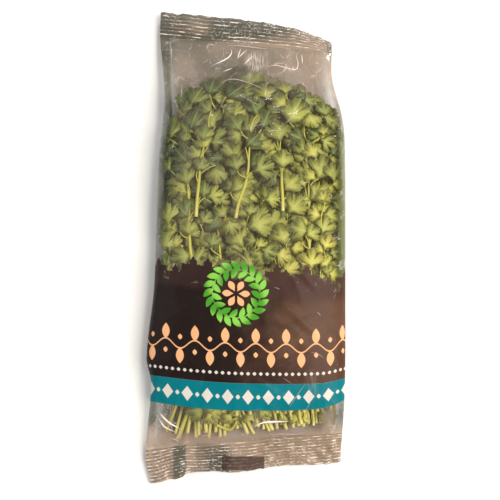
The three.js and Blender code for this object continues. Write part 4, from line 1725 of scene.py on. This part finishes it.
@dataclass(frozen=True)
class LeafletPattern:
    """A coriander leaflet: a wedge with three toothed lobes. Lengths are shares of its own length."""

    teeth: tuple[Span, ...] = (
        *((0, 0.99), (5, 0.98), (8, 0.86), (12, 0.95), (18, 0.92), (23, 0.84)),
        *((29, 0.64), (34, 0.84), (39, 0.95), (44, 0.94), (47, 0.83), (51, 0.95)),
        *((57, 0.95), (61, 0.82), (66, 0.88), (74, 0.85), (82, 0.68), (98, 0.38)),
    )
    neck: float = 0.3
    fan: float = 0.7
    neck_half_width: float = 0.03
    thickness: float = 0.014
    ruffle: float = 0.035
    pleat: float = 0.04

    def rim(self, random: Random) -> Array:
        """The outline as rows of (along, off), from the tip round to the tip again.

        Args:
            random: the source of numbers.

        Returns:
            The rows.
        """
        depth = random.uniform(0.75, 1.25)
        half = []
        for side in (1, -1):
            table = np.array(self.teeth[0 if side == 1 else 1 :])
            angles = np.radians(table[:, 0] + random.uniform(-1.1, 1.1, len(table))) * side
            shares = 1 - (1 - table[:, 1]) * depth + random.uniform(-0.04, 0.03, len(table))
            shares = np.clip(shares, 0.3, 1) * self.fan
            half.append(np.column_stack([self.neck + shares * np.cos(angles), shares * np.sin(angles)]))
        neck = np.array([[0.02, self.neck_half_width], [0.02, -self.neck_half_width]])
        return np.concatenate([half[0], neck, half[1][::-1]])

    def make(self, seed: int) -> Pattern:
        """Models one leaflet.

        Args:
            seed: picks its teeth, ruffles and pleats.

        Returns:
            The closed, thin form, with its root at the origin and its rib along x.
        """
        random = np.random.default_rng(seed)
        rim = self.rim(random)
        count = len(rim)
        bpy.ops.object.select_all(action="DESELECT")
        bpy.ops.mesh.primitive_circle_add(vertices=count, radius=1, fill_type="NOTHING")
        piece = bpy.context.object
        start_editing(piece)
        bpy.ops.mesh.extrude_edges_move()
        bpy.ops.mesh.merge(type="CENTER")
        bpy.ops.mesh.select_all(action="SELECT")
        bpy.ops.mesh.duplicate()
        bpy.ops.transform.translate(value=(0, 0, -self.thickness))
        bpy.ops.object.mode_set(mode="OBJECT")
        places = np.array([vertex.co[:] for vertex in piece.data.vertices])
        out = np.hypot(places[:, 0], places[:, 1])
        step = np.round(np.arctan2(places[:, 1], places[:, 0]) / math.tau * count).astype(int) % count
        centre = np.array([self.neck, 0])
        flat = centre + out[:, None] * (rim[step] - centre)
        notch = np.hypot(*(rim - centre).T)[step] / self.fan
        wave = np.cos(step / count * math.tau * 3 + random.uniform(0, 6)) * self.ruffle
        rise = np.where(out > 0.5, wave + (notch - 0.85) * self.pleat, -0.01)
        below = np.where(out > 0.5, 0, places[:, 2])
        for vertex, (a, b), z in zip(piece.data.vertices, flat, rise + below):
            vertex.co = (a, b, z)
        start_editing(piece)
        bpy.ops.mesh.remove_doubles(threshold=1e-5)
        bpy.ops.mesh.normals_make_consistent(inside=False)
        return Pattern.taken_from(piece)


@dataclass(frozen=True)
class StalkPattern:
    """A straight closed rod of radius 1 whose rows are numbered from 0 to 1 along z."""

    sides: int
    rows: int

    def make(self) -> Pattern:
        """Models the rod.

        Returns:
            The rod, with its foot at the origin.
        """
        bpy.ops.object.select_all(action="DESELECT")
        bpy.ops.mesh.primitive_cylinder_add(
            vertices=self.sides, radius=1, depth=1, end_fill_type="TRIFAN", location=(0, 0, 0.5)
        )
        piece = bpy.context.object
        bpy.ops.object.transform_apply(location=True, rotation=False, scale=False)
        start_editing(piece)
        bpy.ops.mesh.select_mode(type="EDGE")
        bpy.ops.mesh.select_all(action="DESELECT")
        bpy.ops.object.mode_set(mode="OBJECT")
        heights = [vertex.co.z for vertex in piece.data.vertices]
        for edge in piece.data.edges:
            edge.select = abs(heights[edge.vertices[0]] - heights[edge.vertices[1]]) > 0.5
        bpy.ops.object.mode_set(mode="EDIT")
        bpy.ops.mesh.subdivide(number_cuts=self.rows - 1)
        bpy.ops.mesh.select_mode(type="VERT")
        return Pattern.taken_from(piece)


# ---------------- the herb


def smooth_path(middles: Array, shares: Array) -> Array:
    """Points of a smooth curve through given points, at shares of its length.

    Args:
        middles: the given points.
        shares: the shares of its length.

    Returns:
        A point for each share.
    """
    steps = np.linalg.norm(np.diff(middles, axis=0), axis=1)
    places = np.concatenate([[0], np.cumsum(steps)]) / steps.sum()
    columns = [Curve(*zip(places, middles[:, axis]))(shares) for axis in range(3)]
    return np.stack(columns, axis=-1)


def way_along(middles: Array, shares: Array, step: float) -> Array:
    """The way that the same curve runs at those shares, over a step to either side."""
    after = smooth_path(middles, np.clip(shares + step, 0, 1))
    return after - smooth_path(middles, np.clip(shares - step, 0, 1))


@dataclass
class Herb:
    """The bunch itself: leafy stems and a few loose cut ones."""

    finish: LeafFinish = field(default_factory=LeafFinish)
    leaflet: LeafletPattern = field(default_factory=LeafletPattern)
    stalk: StalkPattern = StalkPattern(8, 26)
    petiole: StalkPattern = StalkPattern(5, 7)
    spray: SprayRule = SprayRule()
    low_spray: SprayRule = SprayRule(
        left=-40, right=66, low=-160, dome=Curve((-100, -141), (100, -141)), columns=9, rows=1,
        levels=((0.95, 0.35, 1), (0.6, 0.6, 1)), reach=(7, 34), side=Side.CUT_ENDS, length=(12, 17),
        spot_tries=12, seed=17
    )
    edge_spray: SprayRule = SprayRule(
        left=72, right=81.5, low=-48, dome=Curve((60, 92), (80, 86)), columns=2, rows=16,
        levels=((0.8, 0.5, 1), (0.55, 0.9, 1), (0.3, 0.9, 1)), reach=(4, 40), length=(9, 15),
        spot_tries=8, film_gap=0.5, side_limit=0.995, seed=29
    )
    shoots: ShootRule = ShootRule()
    covers: CoverRule = CoverRule()
    covered: tuple[str, ...] = tuple(f"leafy_stem_{number:02d}" for number in range(1, 11))
    kinds: int = 7
    tip_share: float = 0.45
    bare_tip_share: float = 0.95
    swell: float = 0.12
    rod_tone: Span = (0.3, 0.8)
    curl: Span = (-0.9, 0.5)
    upward: tuple[float, float, float] = (0.17, 0.11, 0.98)
    seed: int = 23

    def build(self) -> None:
        """Draws the bunch and makes every piece of it."""
        bunch = Bunch()
        bare = bunch.draw_bare()
        leafy = bunch.draw_leafy(bare)
        thicket = Thicket(bunch.leaf_rule, [*bare, *leafy])
        thicket.fill_spots(leafy)
        spots = thicket.count
        upper = [stem for stem in leafy if stem.name in self.covered]
        thicket.fill_covers(upper, self.covers)
        covers = thicket.count - spots
        shoots = thicket.fill_shoots(leafy, self.shoots)
        thicket.fill_sprays(leafy, self.low_spray)
        low = thicket.count - spots - covers
        thicket.fill_sprays(leafy, self.spray)
        thicket.fill_sprays(leafy, self.edge_spray)
        counts = (spots, covers, low, thicket.count, shoots)
        log.info("leaflets on rachises %d, over stems %d, low %d, in all %d; shoots %d", *counts)
        self.patterns = [self.leaflet.make(self.seed + kind) for kind in range(self.kinds)]
        self.rod, self.thin_rod = self.stalk.make(), self.petiole.make()
        material = self.finish.make()
        random = np.random.default_rng(self.seed)
        for stem in [*bare, *leafy]:
            self.build_stem(stem, material, random)

    def sweep(self, parts: MeshParts, rod: Pattern, path: Array, radii: Span, **traits: float) -> None:
        """Runs a rod along a path.

        Args:
            parts: the mesh that gets it.
            rod: the straight rod.
            path: the path's points.
            radii: its radius at the start and at the end.
            traits: numbers for the material.
        """
        shares = rod.points[:, 2]
        centre = smooth_path(path, shares)
        ahead = unit(way_along(path, shares, 0.01))
        over = unit(np.cross(ahead, np.array(self.upward)) + 1e-9)
        up = np.cross(over, ahead)
        thick = lerp(radii[0], radii[1], shares ** 1.3)[:, None]
        points = centre + (over * rod.points[:, :1] + up * rod.points[:, 1:2]) * thick
        turn = np.arctan2(rod.points[:, 1], rod.points[:, 0]) / math.tau
        parts.add(points, rod.faces, np.column_stack([shares, turn]), stalk=1, **traits)

    def build_stem(self, stem: Stem, material: Material, random: Random) -> None:
        """Makes one stem with all its leaves.

        Args:
            stem: where it runs and what stands on it.
            material: its finish.
            random: the source of numbers.
        """
        parts = MeshParts()
        tip = self.tip_share if stem.leaflets else self.bare_tip_share
        ends = np.exp(-self.rod.points[:, 2] * 14)
        radii = (stem.radius + self.swell, stem.radius * tip)
        tone = random.uniform(*self.rod_tone)
        self.sweep(parts, self.rod, stem.middles, radii, tone=tone, gold=0, end=ends)
        for stalk in stem.stalks:
            rod = self.rod if stalk.cut else self.thin_rod
            pale = np.exp((rod.points[:, 2] - 1) * 5) if stalk.cut else 0.1
            tone = random.uniform(*self.rod_tone)
            self.sweep(parts, rod, stalk.path, stalk.radii, tone=tone, gold=0, end=pale)
        for leaflet in stem.leaflets:
            self.add_leaflet(parts, leaflet, random)
        piece = parts.make(f"{stem.name}_leafage" if stem.leaflets else f"{stem.name}_stalk", "blade")
        piece.data.materials.append(material)
        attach(piece, BODY)
        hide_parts(stem.name)
        log.info("%s: %d leaflets", piece.name, len(stem.leaflets))

    def add_leaflet(self, parts: MeshParts, leaflet: Leaflet, random: Random) -> None:
        """Copies one leaflet pattern into its place.

        Args:
            parts: the stem's mesh.
            leaflet: the frame that it stands in.
            random: the source of numbers.
        """
        pattern = self.patterns[int(random.integers(self.kinds))]
        places = pattern.points.copy()
        if random.uniform() < 0.5:
            places[:, 1] *= -1
            faces = [tuple(reversed(face)) for face in pattern.faces]
        else:
            faces = pattern.faces
        blade = places[:, :2].copy()
        places *= leaflet.length
        places[:, 2] += random.uniform(*self.curl) * (places[:, 0] / leaflet.length) ** 2
        # painted light: leaflets yellower towards the lower right and paler towards the cut ends, as if lit from
        # there, and painted shade: darker at the right edge; random draws add their own variation
        east = leaflet.middle[0]
        yellow = smoothstep(-20, 75, east - 0.35 * leaflet.middle[1]) * random.uniform(0.1, 0.8)
        edge = smoothstep(62, 74, east)
        gold = np.clip(random.normal(0.14, 0.16) + yellow - 0.2 * edge, 0, 1)
        lit = 0.74 + 0.0038 * east - 0.0035 * leaflet.middle[1] - 0.65 * edge
        tone = np.clip(random.normal(lit, 0.3), 0, 1.1)
        parts.add(leaflet.at(places), faces, blade, tone=tone, gold=gold, stalk=0, end=0)


# ---------------- the film bag


@dataclass(frozen=True)
class Crease:
    """One fold that stands up from the film, from one point to another."""

    start: Span
    end: Span
    height: float
    width: float


@dataclass(frozen=True)
class Fold:
    """A sharp fold whose crest is painted pale as a highlight, along a path of [x, y]."""

    path: tuple[Span, ...]
    width: float = 0.5


@dataclass(frozen=True)
class FoldRule:
    """Small sharp folds strewn over a part of the front panel."""

    count: int
    low: Span
    high: Span
    turn: Span
    length: Span = (4, 12)
    bend: float = 0.5
    width: Span = (0.14, 0.3)


@dataclass
class FilmBag:
    """The bag: one closed skin of film with crimped seals, and the flat seam under its back."""

    finish: FilmFinish = field(default_factory=FilmFinish)
    columns: int = 112
    rows: int = 230
    seal_rows: int = 44
    seal_gap: float = 0.4
    rib_height: float = 0.35
    ribs: tuple[int, int] = (10, 7)
    teal_low: Curve = Curve((-1, -138.3), (-0.5, -143.6), (0, -145.6), (0.75, -144), (1, -137.5))
    teal_high: Curve = Curve((-1, -117.7), (-0.5, -122.3), (0, -124.5), (0.75, -124.2), (1, -120))
    lift: float = 0.45
    creases: tuple[Crease, ...] = (
        Crease((10, -176), (72, -138), 1.4, 2.2),
        Crease((-4, -163), (34, -126), 0.9, 1.8),
        Crease((-66, -150), (-48, -168), 1.2, 1.2),
        Crease((-70, -158), (-54, -172), 1.0, 1.2),
        Crease((24, -60), (60, -92), 1.3, 3.0),
        Crease((36, -30), (62, -58), 1.0, 3.5),
        Crease((40, 160), (62, 120), 0.9, 2.2),
        Crease((-60, 150), (-66, 100), 1.0, 2.6),
    )
    folds: tuple[Fold, ...] = (
        Fold(((-15.8, 166.7), (-14.6, 161.3), (-18.9, 153.1), (-30.8, 145)), 0.75),
        Fold(((-6.8, 165.3), (-9.5, 153.4)), 0.6),
        Fold(((-9.5, 153.4), (-1.2, 164.7)), 0.6),
        Fold(((4.4, 157.2), (-3.8, 145.4)), 0.65),
        Fold(((-21.8, 137.2), (-13.2, 141.1)), 0.55),
        Fold(((-23.5, 119.6), (-21, 125.9), (-14.1, 128.4), (-3.2, 126), (9.6, 119.3), (18.1, 112.6)), 0.4),
        Fold(((16.4, 142.8), (22.6, 146), (40.6, 141.3), (43.3, 149.1), (42, 159.8), (44.4, 163.5)), 0.6),
        Fold(((47.1, 148.6), (47.1, 161.4)), 0.6),
        Fold(((61.6, 155.9), (67.1, 160.1), (72.4, 161.7)), 0.6),
        Fold(((-65.7, 155.5), (-60.3, 149.9)), 0.4),
        Fold(((-19.3, 170.2), (-2, 168.4), (19.1, 166)), 0.5),
        Fold(((-70.8, -146.9), (-63.1, -154.4), (-53.9, -159.6)), 0.8),
        Fold(((-70.8, -151.5), (-66.5, -158), (-58, -162.2)), 0.7),
        Fold(((3.7, -158.7), (11.3, -155), (20.3, -154.2), (32.4, -154.2)), 0.85),
        Fold(((49, -100.1), (55.9, -102), (60.5, -105.2)), 0.4),
        Fold(((20.3, -49.5), (25.6, -51.4)), 0.4),
        Fold(((54.7, -68.6), (57.7, -71.5)), 0.45),
        Fold(((26.9, -120.1), (34.5, -124.6)), 0.35),
        Fold(((39.8, -131.9), (33.7, -140.8)), 0.35),
        Fold(((47, -164.2), (58, -161), (68, -154.9)), 0.65),
        Fold(((14, -165.5), (26, -164), (39, -164.3), (48, -162)), 0.35),
        Fold(((31.9, -143.8), (37.4, -135.2), (45.3, -124.3)), 0.4),
        Fold(((43.1, -148.2), (48.6, -139.5), (46.4, -131.9)), 0.35),
        Fold(((-38, -168), (-36, -165.5), (-29.6, -164)), 0.35),
        Fold(((-64, -166.5), (-57.7, -168.4), (-53, -171)), 0.35),
        Fold(((61.1, -156.9), (67.5, -157.7), (71, -160.5)), 0.35),
        Fold(((73, 155), (71.8, 130)), 0.3),
        Fold(((-67.5, 168), (-67, 148)), 0.3),
        Fold(((-56.3, 128.4), (-56.3, 110.6)), 0.3),
    )
    strewn: tuple[FoldRule, ...] = (
        FoldRule(12, (-66, 140), (70, 158), (1.1, 2.1), length=(6, 16)),
        FoldRule(8, (-70, 108), (74, 138), (0, 3.1), length=(3, 8)),
        FoldRule(26, (-66, -167), (68, -154), (0.3, 2.8), length=(3, 9)),
        FoldRule(7, (-72, -60), (-62, 90), (1.2, 1.9), length=(4, 12)),
        FoldRule(9, (64, -120), (74, 90), (1.2, 1.9), length=(3, 7)),
    )
    ridges: tuple[tuple[float, float, int], ...] = ((0.5, 13, 7), (-0.8, 17, 8), (1.4, 21, 9))
    ridge_height: float = 0.55
    ridge_stretch: float = 2.4
    relief_limits: Span = (-1.4, 1.6)
    cool_patches: tuple[tuple[float, float, float], ...] = ((-54.7, 5, -158), (-29, 15, -172))
    fold_rod: StalkPattern = StalkPattern(4, 12)
    fold_height: float = 0.8
    # how pale the painted highlight on a fold's crest is, per millimetre of the fold's width
    fold_shine: float = 1.6
    seed: int = 41

    def build(self) -> None:
        """Makes the bag."""
        parts = MeshParts()
        self.add_skin(parts)
        self.add_folds(parts)
        piece = parts.make("film_bag_skin", "print")
        piece.data.materials.append(self.finish.make())
        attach(piece, BODY)
        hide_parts("film_bag")
        log.info("%s: %d faces", piece.name, len(piece.data.polygons))

    def relief(self, at: FilmPlaces) -> Array:
        """How far the film stands out of its smooth form, in millimetres.

        Args:
            at: the places on the film.

        Returns:
            The height of the relief at each place.
        """
        x, y, u, s, front = at
        ends = np.exp(-np.minimum(s, 1 - s) * 340 / 26)
        strands = lumps(x + 0.25 * y * u, y / 9, 5.5, 3) + 0.6 * lumps(x, y / 7, 2.9, 4)
        height = 0.9 * ends * (1 - np.abs(strands)) - 0.4 * ends
        leaves = smoothstep(-60, -20, y) * (1 - smoothstep(120, 150, y))
        height = height + lerp(0.35, 0.8, leaves) * lumps(x, y, 17, 5) + 0.35 * leaves * lumps(x, y, 7, 6)
        for turn, size, seed in self.ridges:
            along = x * math.cos(turn) + y * math.sin(turn)
            off = y * math.cos(turn) - x * math.sin(turn)
            ridge = 1 - np.abs(lumps(along / self.ridge_stretch, off, size, seed))
            height = height + self.ridge_height * ridge**8
        for glinting_crease in self.creases:
            a, b = np.array(glinting_crease.start), np.array(glinting_crease.end)
            run = b - a
            t = np.clip(((x - a[0]) * run[0] + (y - a[1]) * run[1]) / (run @ run), 0, 1)
            away = np.hypot(x - a[0] - t * run[0], y - a[1] - t * run[1])
            fold = np.sin(np.pi * np.clip(t, 0.04, 0.96)) * np.exp(-((away / glinting_crease.width) ** 2))
            height = height + front * glinting_crease.height * fold
        return np.clip(height, *self.relief_limits) * np.clip(12 * (1 - np.abs(u)), 0, 1)

    def rings(self) -> tuple[Array, ...]:
        """The skin as a grid: u and front by column, and the place along by row.

        Returns:
            The two rows, and a column that runs below 0 and above 1 in the seals.
        """
        turn = np.pi * np.arange(2 * self.columns) / self.columns
        u = -np.cos(turn)
        front = (np.arange(2 * self.columns) < self.columns).astype(float)
        low = -np.arange(self.seal_rows, 0, -1) / self.seal_rows
        high = 1 + np.arange(1, self.seal_rows + 1) / self.seal_rows
        return u, front, np.concatenate([low, np.linspace(0, 1, self.rows), high])

    def heights(self, at: FilmPlaces) -> Array:
        """The height of the pouch's film, with its relief.

        Args:
            at: the places on the film.

        Returns:
            The height at each place.
        """
        roof, floor = BAG.roof(at.u, at.s), BAG.floor(at.u, at.s)
        middle, half = (roof + floor) / 2, (roof - floor) / 2
        close = 1 - smoothstep(0, 0.04, np.minimum(at.s, 1 - at.s))
        half = half * (1 - close) + np.maximum(half - 0.6 + self.seal_gap / 2, 0.02) * close
        relief = self.relief(at)
        return np.where(at.front > 0, middle + half + relief, np.maximum(middle - half - relief, self.lift))

    def print_places(self, at: FilmPlaces) -> Array:
        """Places on the print: across the flattened bag, and up from the teal stripe's lower edge.

        Args:
            at: the places on the film.

        Returns:
            Rows of (across, up).
        """
        y, stripe = at.y, self.finish.teal_top
        low, high = self.teal_low(at.u), self.teal_high(at.u)
        climb = np.where(y > high, stripe + y - high, (y - low) / (high - low) * stripe)
        climb = np.where(y < low, y - low, climb)
        return np.stack([BAG.girth(at), climb], axis=-1).reshape(-1, 2)

    def add_skin(self, parts: MeshParts) -> None:
        """Adds the closed skin.

        Args:
            parts: the mesh that gets it.
        """
        u_line, front_line, places = self.rings()
        u, p = np.meshgrid(u_line, places)
        front, _ = np.meshgrid(front_line, places)
        s = np.clip(p, 0, 1)
        bottom, top = np.clip(-p, 0, 1), np.clip(p - 1, 0, 1)
        low, high = BAG.bottom.line(u), BAG.top.line(u)
        y = lerp(low, high, s)
        y = np.where(p < 0, lerp(low, BAG.bottom.cut(u), bottom), y)
        y = np.where(p > 1, lerp(high, BAG.top.cut(u), top), y)
        ragged = lumps(u * 80, y * 0, 2.6, 11) + 0.8 * lumps(u * 80, y * 0, 7, 12)
        y = y + np.where(p < 0, -1, 1) * 0.55 * ragged * np.maximum(bottom, top) ** 3
        x = BAG.across(y, u)
        at = FilmPlaces(x, y, u, s, front)
        taper = np.sqrt(np.maximum(0, 1 - np.abs(u) ** BAG.crown_rounding))
        middle = (BAG.roof(u, s) + BAG.floor(u, s)) / 2
        z = self.heights(at)
        phase = np.where(p < 0, bottom * self.ribs[0], top * self.ribs[1])
        inward = np.minimum(1, 5 * np.maximum(bottom, top))
        phase = phase + np.where(p < 0, 0.7, 0.25) * lumps(x, y / 3, 19, 17) * inward
        for seal, t, crumple, ribs in ((BAG.bottom, bottom, 1, 0.6), (BAG.top, top, 0.5, 1)):
            crest = np.cos(math.tau * phase) * np.sin(np.pi * np.clip(t * 1.06, 0, 1)) ** 0.3
            rib = ribs * self.rib_height * crest
            skin = np.where(front > 0, 1, -1) * taper * self.seal_gap / 2
            warp = 0.5 * lumps(x, y, 14, 13) * np.sqrt(t)
            warp = warp + crumple * lumps(x, y, 4.2, 14) * np.minimum(1, 3 * t)
            flat = lerp(seal.heights[0], seal.heights[1], t) + seal.curl * u * t + rib + skin + warp
            flat = flat + (1 - np.minimum(1, t * 6)) * (middle - seal.heights[0])
            z = np.where(t > 0, flat, z)
        points = np.stack([x, y, z], axis=-1).reshape(-1, 3)
        rows, columns = u.shape
        faces = [tuple(row) for row in grid_faces(rows, columns, True)]
        faces += self.closed_end(0, columns, False) + self.closed_end((rows - 1) * columns, columns, True)
        parts.add(
            points,
            faces,
            self.print_places(at),
            front=front.ravel(),
            seal=(np.maximum(bottom, top) > 0).astype(float).ravel(),
            rib=phase.ravel(),
            seam=self.seam(x, y).ravel(),
            haze=self.haze(at).ravel(),
            cool=self.coolness(at).ravel(),
            fold=0,
        )

    def drawn_folds(self) -> list[Fold]:
        """All sharp folds, the named ones and the strewn ones.

        Returns:
            The folds.
        """
        random = np.random.default_rng(self.seed)
        folds = list(self.folds)
        for rule in self.strewn:
            for _ in range(rule.count):
                start = random.uniform(rule.low, rule.high)
                turn, reach = random.uniform(*rule.turn), random.uniform(*rule.length) / 3
                path = [start]
                for _ in range(3):
                    path.append(path[-1] + reach * np.array([math.cos(turn), math.sin(turn)]))
                    turn += random.uniform(-rule.bend, rule.bend)
                folds.append(Fold(tuple(tuple(point) for point in path), random.uniform(*rule.width)))
        return folds

    def add_folds(self, parts: MeshParts) -> None:
        """Adds the crests of the sharp folds, each a slim closed ridge on the front panel, painted pale as a
        highlight.

        Args:
            parts: the mesh that gets them.
        """
        rod = self.fold_rod.make()
        shares = rod.points[:, 2]
        for fold in self.drawn_folds():
            path = np.column_stack([fold.path, np.zeros(len(fold.path))])
            centre = smooth_path(path, shares)
            u, s = BAG.place(centre[:, 0], centre[:, 1])
            if np.abs(u).max() > 0.95 or s.min() < 0.002 or s.max() > 0.998:
                continue
            ahead = way_along(path, shares, 0.02)
            across = unit(np.column_stack([-ahead[:, 1], ahead[:, 0]]))
            thick = fold.width * np.maximum(0.06, np.sin(np.pi * shares))
            at = FilmPlaces(centre[:, 0], centre[:, 1], u, s, np.ones(len(shares)))
            points = centre.copy()
            points[:, :2] += across * (rod.points[:, 0] * thick)[:, None]
            points[:, 2] = self.heights(at) + rod.points[:, 1] * thick * self.fold_height
            traits = {"front": 1, "seal": 0, "rib": 0, "seam": 0, "haze": 0.5, "cool": 0}
            # painted highlight: the fold trait makes the crest pale, more so on wider folds
            traits["fold"] = fold.width * self.fold_shine
            parts.add(points, rod.faces, self.print_places(at), **traits)

    def closed_end(self, first: int, columns: int, far: bool) -> list[Face]:
        """Faces between the front and the back at a cut edge.

        Args:
            first: the number of the row's first point.
            columns: points in the row.
            far: True at the top edge.

        Returns:
            The faces, which point out of the bag.
        """
        faces = []
        for k in range(columns // 2):
            steps = (k, k + 1, (columns - k - 1) % columns, (columns - k) % columns)
            corners = list(dict.fromkeys(first + step for step in steps))
            if len(corners) > 2:
                faces.append(tuple(corners if far else reversed(corners)))
        return faces

    def haze(self, at: FilmPlaces) -> Array:
        """How cloudy the clear film is.

        Args:
            at: the places on the film.

        Returns:
            A share for each place.
        """
        x, y, u, _, front = at
        empty = smoothstep(112, 146, y + 0.1 * x)
        haze = lerp(lerp(0.14, 0.05, smoothstep(-0.6, 0.9, u)), 0.44, empty)
        left = lerp(lerp(1, 0.5, smoothstep(-145, -125, y)), 1, smoothstep(-10, 20, y))
        haze = np.maximum(haze, 0.75 * smoothstep(0.88, 0.94, -u) * left)
        haze = np.maximum(haze, lerp(0.88, 0.8, smoothstep(80, 110, y)) * smoothstep(0.88, 0.96, u))
        haze = np.maximum(haze, 0.72 * smoothstep(0.7, 0.85, u) * (1 - smoothstep(-148, -138, y)))
        window = 1 - smoothstep(-160, -146, y)
        haze = np.maximum(haze, lerp(0.06, 0.5, 1 - smoothstep(-170, -158, y)) * window)
        haze = haze * (1 + 0.35 * lumps(x, y, 12, 15))
        back = lerp(lerp(0.62, 0.42, smoothstep(0.8, 0.95, np.abs(u))), 0.85, self.seam(x, y))
        return np.where(front > 0, haze, back)

    def seam(self, x: Array, y: Array) -> Array:
        """1 on the flat seam that runs up the back, near the left edge."""
        return 1 - smoothstep(4.2, 5.4, np.abs(x - lerp(-55.5, -75, (y + 176) / 350)))

    def coolness(self, at: FilmPlaces) -> Array:
        """Where the film is painted a darker, cooler grey, and where it keeps its warm tint.

        Args:
            at: the places on the film.

        Returns:
            A share for each place, 1 where the darker grey is strongest.
        """
        x, y, u, _, front = at
        # painted shade along the left and right edges and on the back panel behind the herb; darker patches also
        # on the bottom seal, over the top seal's left part and at random
        cool = smoothstep(0.75, 0.93, -u) * 1.1 * smoothstep(-168, -150, y)
        for middle, half, top in self.cool_patches:
            patch = 1 - smoothstep(half * 0.7, half * 1.3, np.abs(x - middle))
            cool = np.maximum(cool, 0.85 * patch * (1 - smoothstep(top - 3, top + 3, y)))
        cool = np.maximum(cool, 0.9 * (1 - front) * (1 - smoothstep(95, 135, y)) * smoothstep(-172, -160, y))
        right = smoothstep(0.86, 0.97, u) * lerp(1.1, 0.8, smoothstep(70, 110, y))
        cool = np.maximum(cool, right * smoothstep(-168, -150, y))
        cool = np.maximum(cool, lerp(1, 0.3, smoothstep(-0.1, 0.7, u)) * smoothstep(166, 176, y + 6 * u))
        return np.clip(cool + lerp(0.35, 0.65, smoothstep(100, 130, y)) * lumps(x, y, 21, 16), 0, 1)


# ---------------- the studio


@dataclass(frozen=True)
class Lamp:
    """An area light that faces the bag."""

    name: str
    place: tuple[float, float, float]
    size: float
    power: float
    tint: tuple[float, float, float]


@dataclass
class Studio:
    """The camera, the floor and the soft lights. Lengths are in metres."""

    target: tuple[float, float, float] = (0.0015, -0.0155, 0.015)
    elevation: float = 79.2
    distance: float = 0.6
    pixels_per_mm: float = 1.205
    sensor: float = 36
    frame_pixels: int = 500
    finish: FloorFinish = field(default_factory=FloorFinish)
    floor_size: float = 6
    floor_cells: int = 24
    lamps: tuple[Lamp, ...] = (
        Lamp("key", (0.8, -0.2, 1.05), 1.0, 25, (1, 0.95, 0.88)),
        Lamp("fill", (-1.1, 0.2, 0.8), 1.2, 6, (0.93, 0.97, 1)),
        Lamp("glint", (0.3, 1.0, 0.8), 0.2, 5, (1, 0.96, 0.9)),
    )
    sky: Colour = (1, 0.98, 0.95, 1)
    sky_strength: float = 0.4

    def build(self) -> None:
        """Sets up the studio."""
        self.add_camera()
        self.add_floor()
        self.add_lights()

    def add_camera(self) -> None:
        """Places the camera in front of the bag, a little below its middle."""
        data = bpy.data.cameras.new("camera")
        data.sensor_width = self.sensor
        data.lens = self.sensor * self.distance * 1000 * self.pixels_per_mm / self.frame_pixels
        camera = bpy.data.objects.new("camera", data)
        bpy.context.scene.collection.objects.link(camera)
        tilt = math.radians(self.elevation)
        back = Vector((0, -math.cos(tilt), math.sin(tilt)))
        camera.location = Vector(self.target) + back * self.distance
        camera.rotation_euler = back.to_track_quat("Z", "Y").to_euler()
        bpy.context.scene.camera = camera

    def add_floor(self) -> None:
        """Adds the floor."""
        bpy.ops.object.select_all(action="DESELECT")
        cells = self.floor_cells
        bpy.ops.mesh.primitive_grid_add(x_subdivisions=cells, y_subdivisions=cells, size=self.floor_size)
        floor = bpy.context.object
        floor.name = "floor"
        floor.data.materials.append(self.finish.make())
        floor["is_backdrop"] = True

    def add_lights(self) -> None:
        """Adds the area lights and the even light from all round."""
        for lamp in self.lamps:
            data = bpy.data.lights.new(lamp.name, "AREA")
            data.size, data.energy, data.color = lamp.size, lamp.power, lamp.tint
            light = bpy.data.objects.new(lamp.name, data)
            light.location = lamp.place
            light.rotation_euler = Vector(lamp.place).to_track_quat("Z", "Y").to_euler()
            bpy.context.scene.collection.objects.link(light)
        world = bpy.data.worlds.new("room")
        world.use_nodes = True
        background = world.node_tree.nodes["Background"]
        background.inputs["Color"].default_value = self.sky
        background.inputs["Strength"].default_value = self.sky_strength
        bpy.context.scene.world = world
        bpy.context.scene.view_settings.view_transform = "Standard"


def save_sizes() -> None:
    """Works out the frame's box and the finished object's box."""
    boxes = {"cad": [list(corner) for corner in cad_box], "visual": [list(corner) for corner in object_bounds()]}


def main() -> None:
    """Builds the studio and the part."""
    logging.basicConfig(level=logging.INFO, format="%(name)s: %(message)s")
    Studio().build()
    Herb().build()
    FilmBag().build()
    save_sizes()


if __name__ == "__main__":
    main()
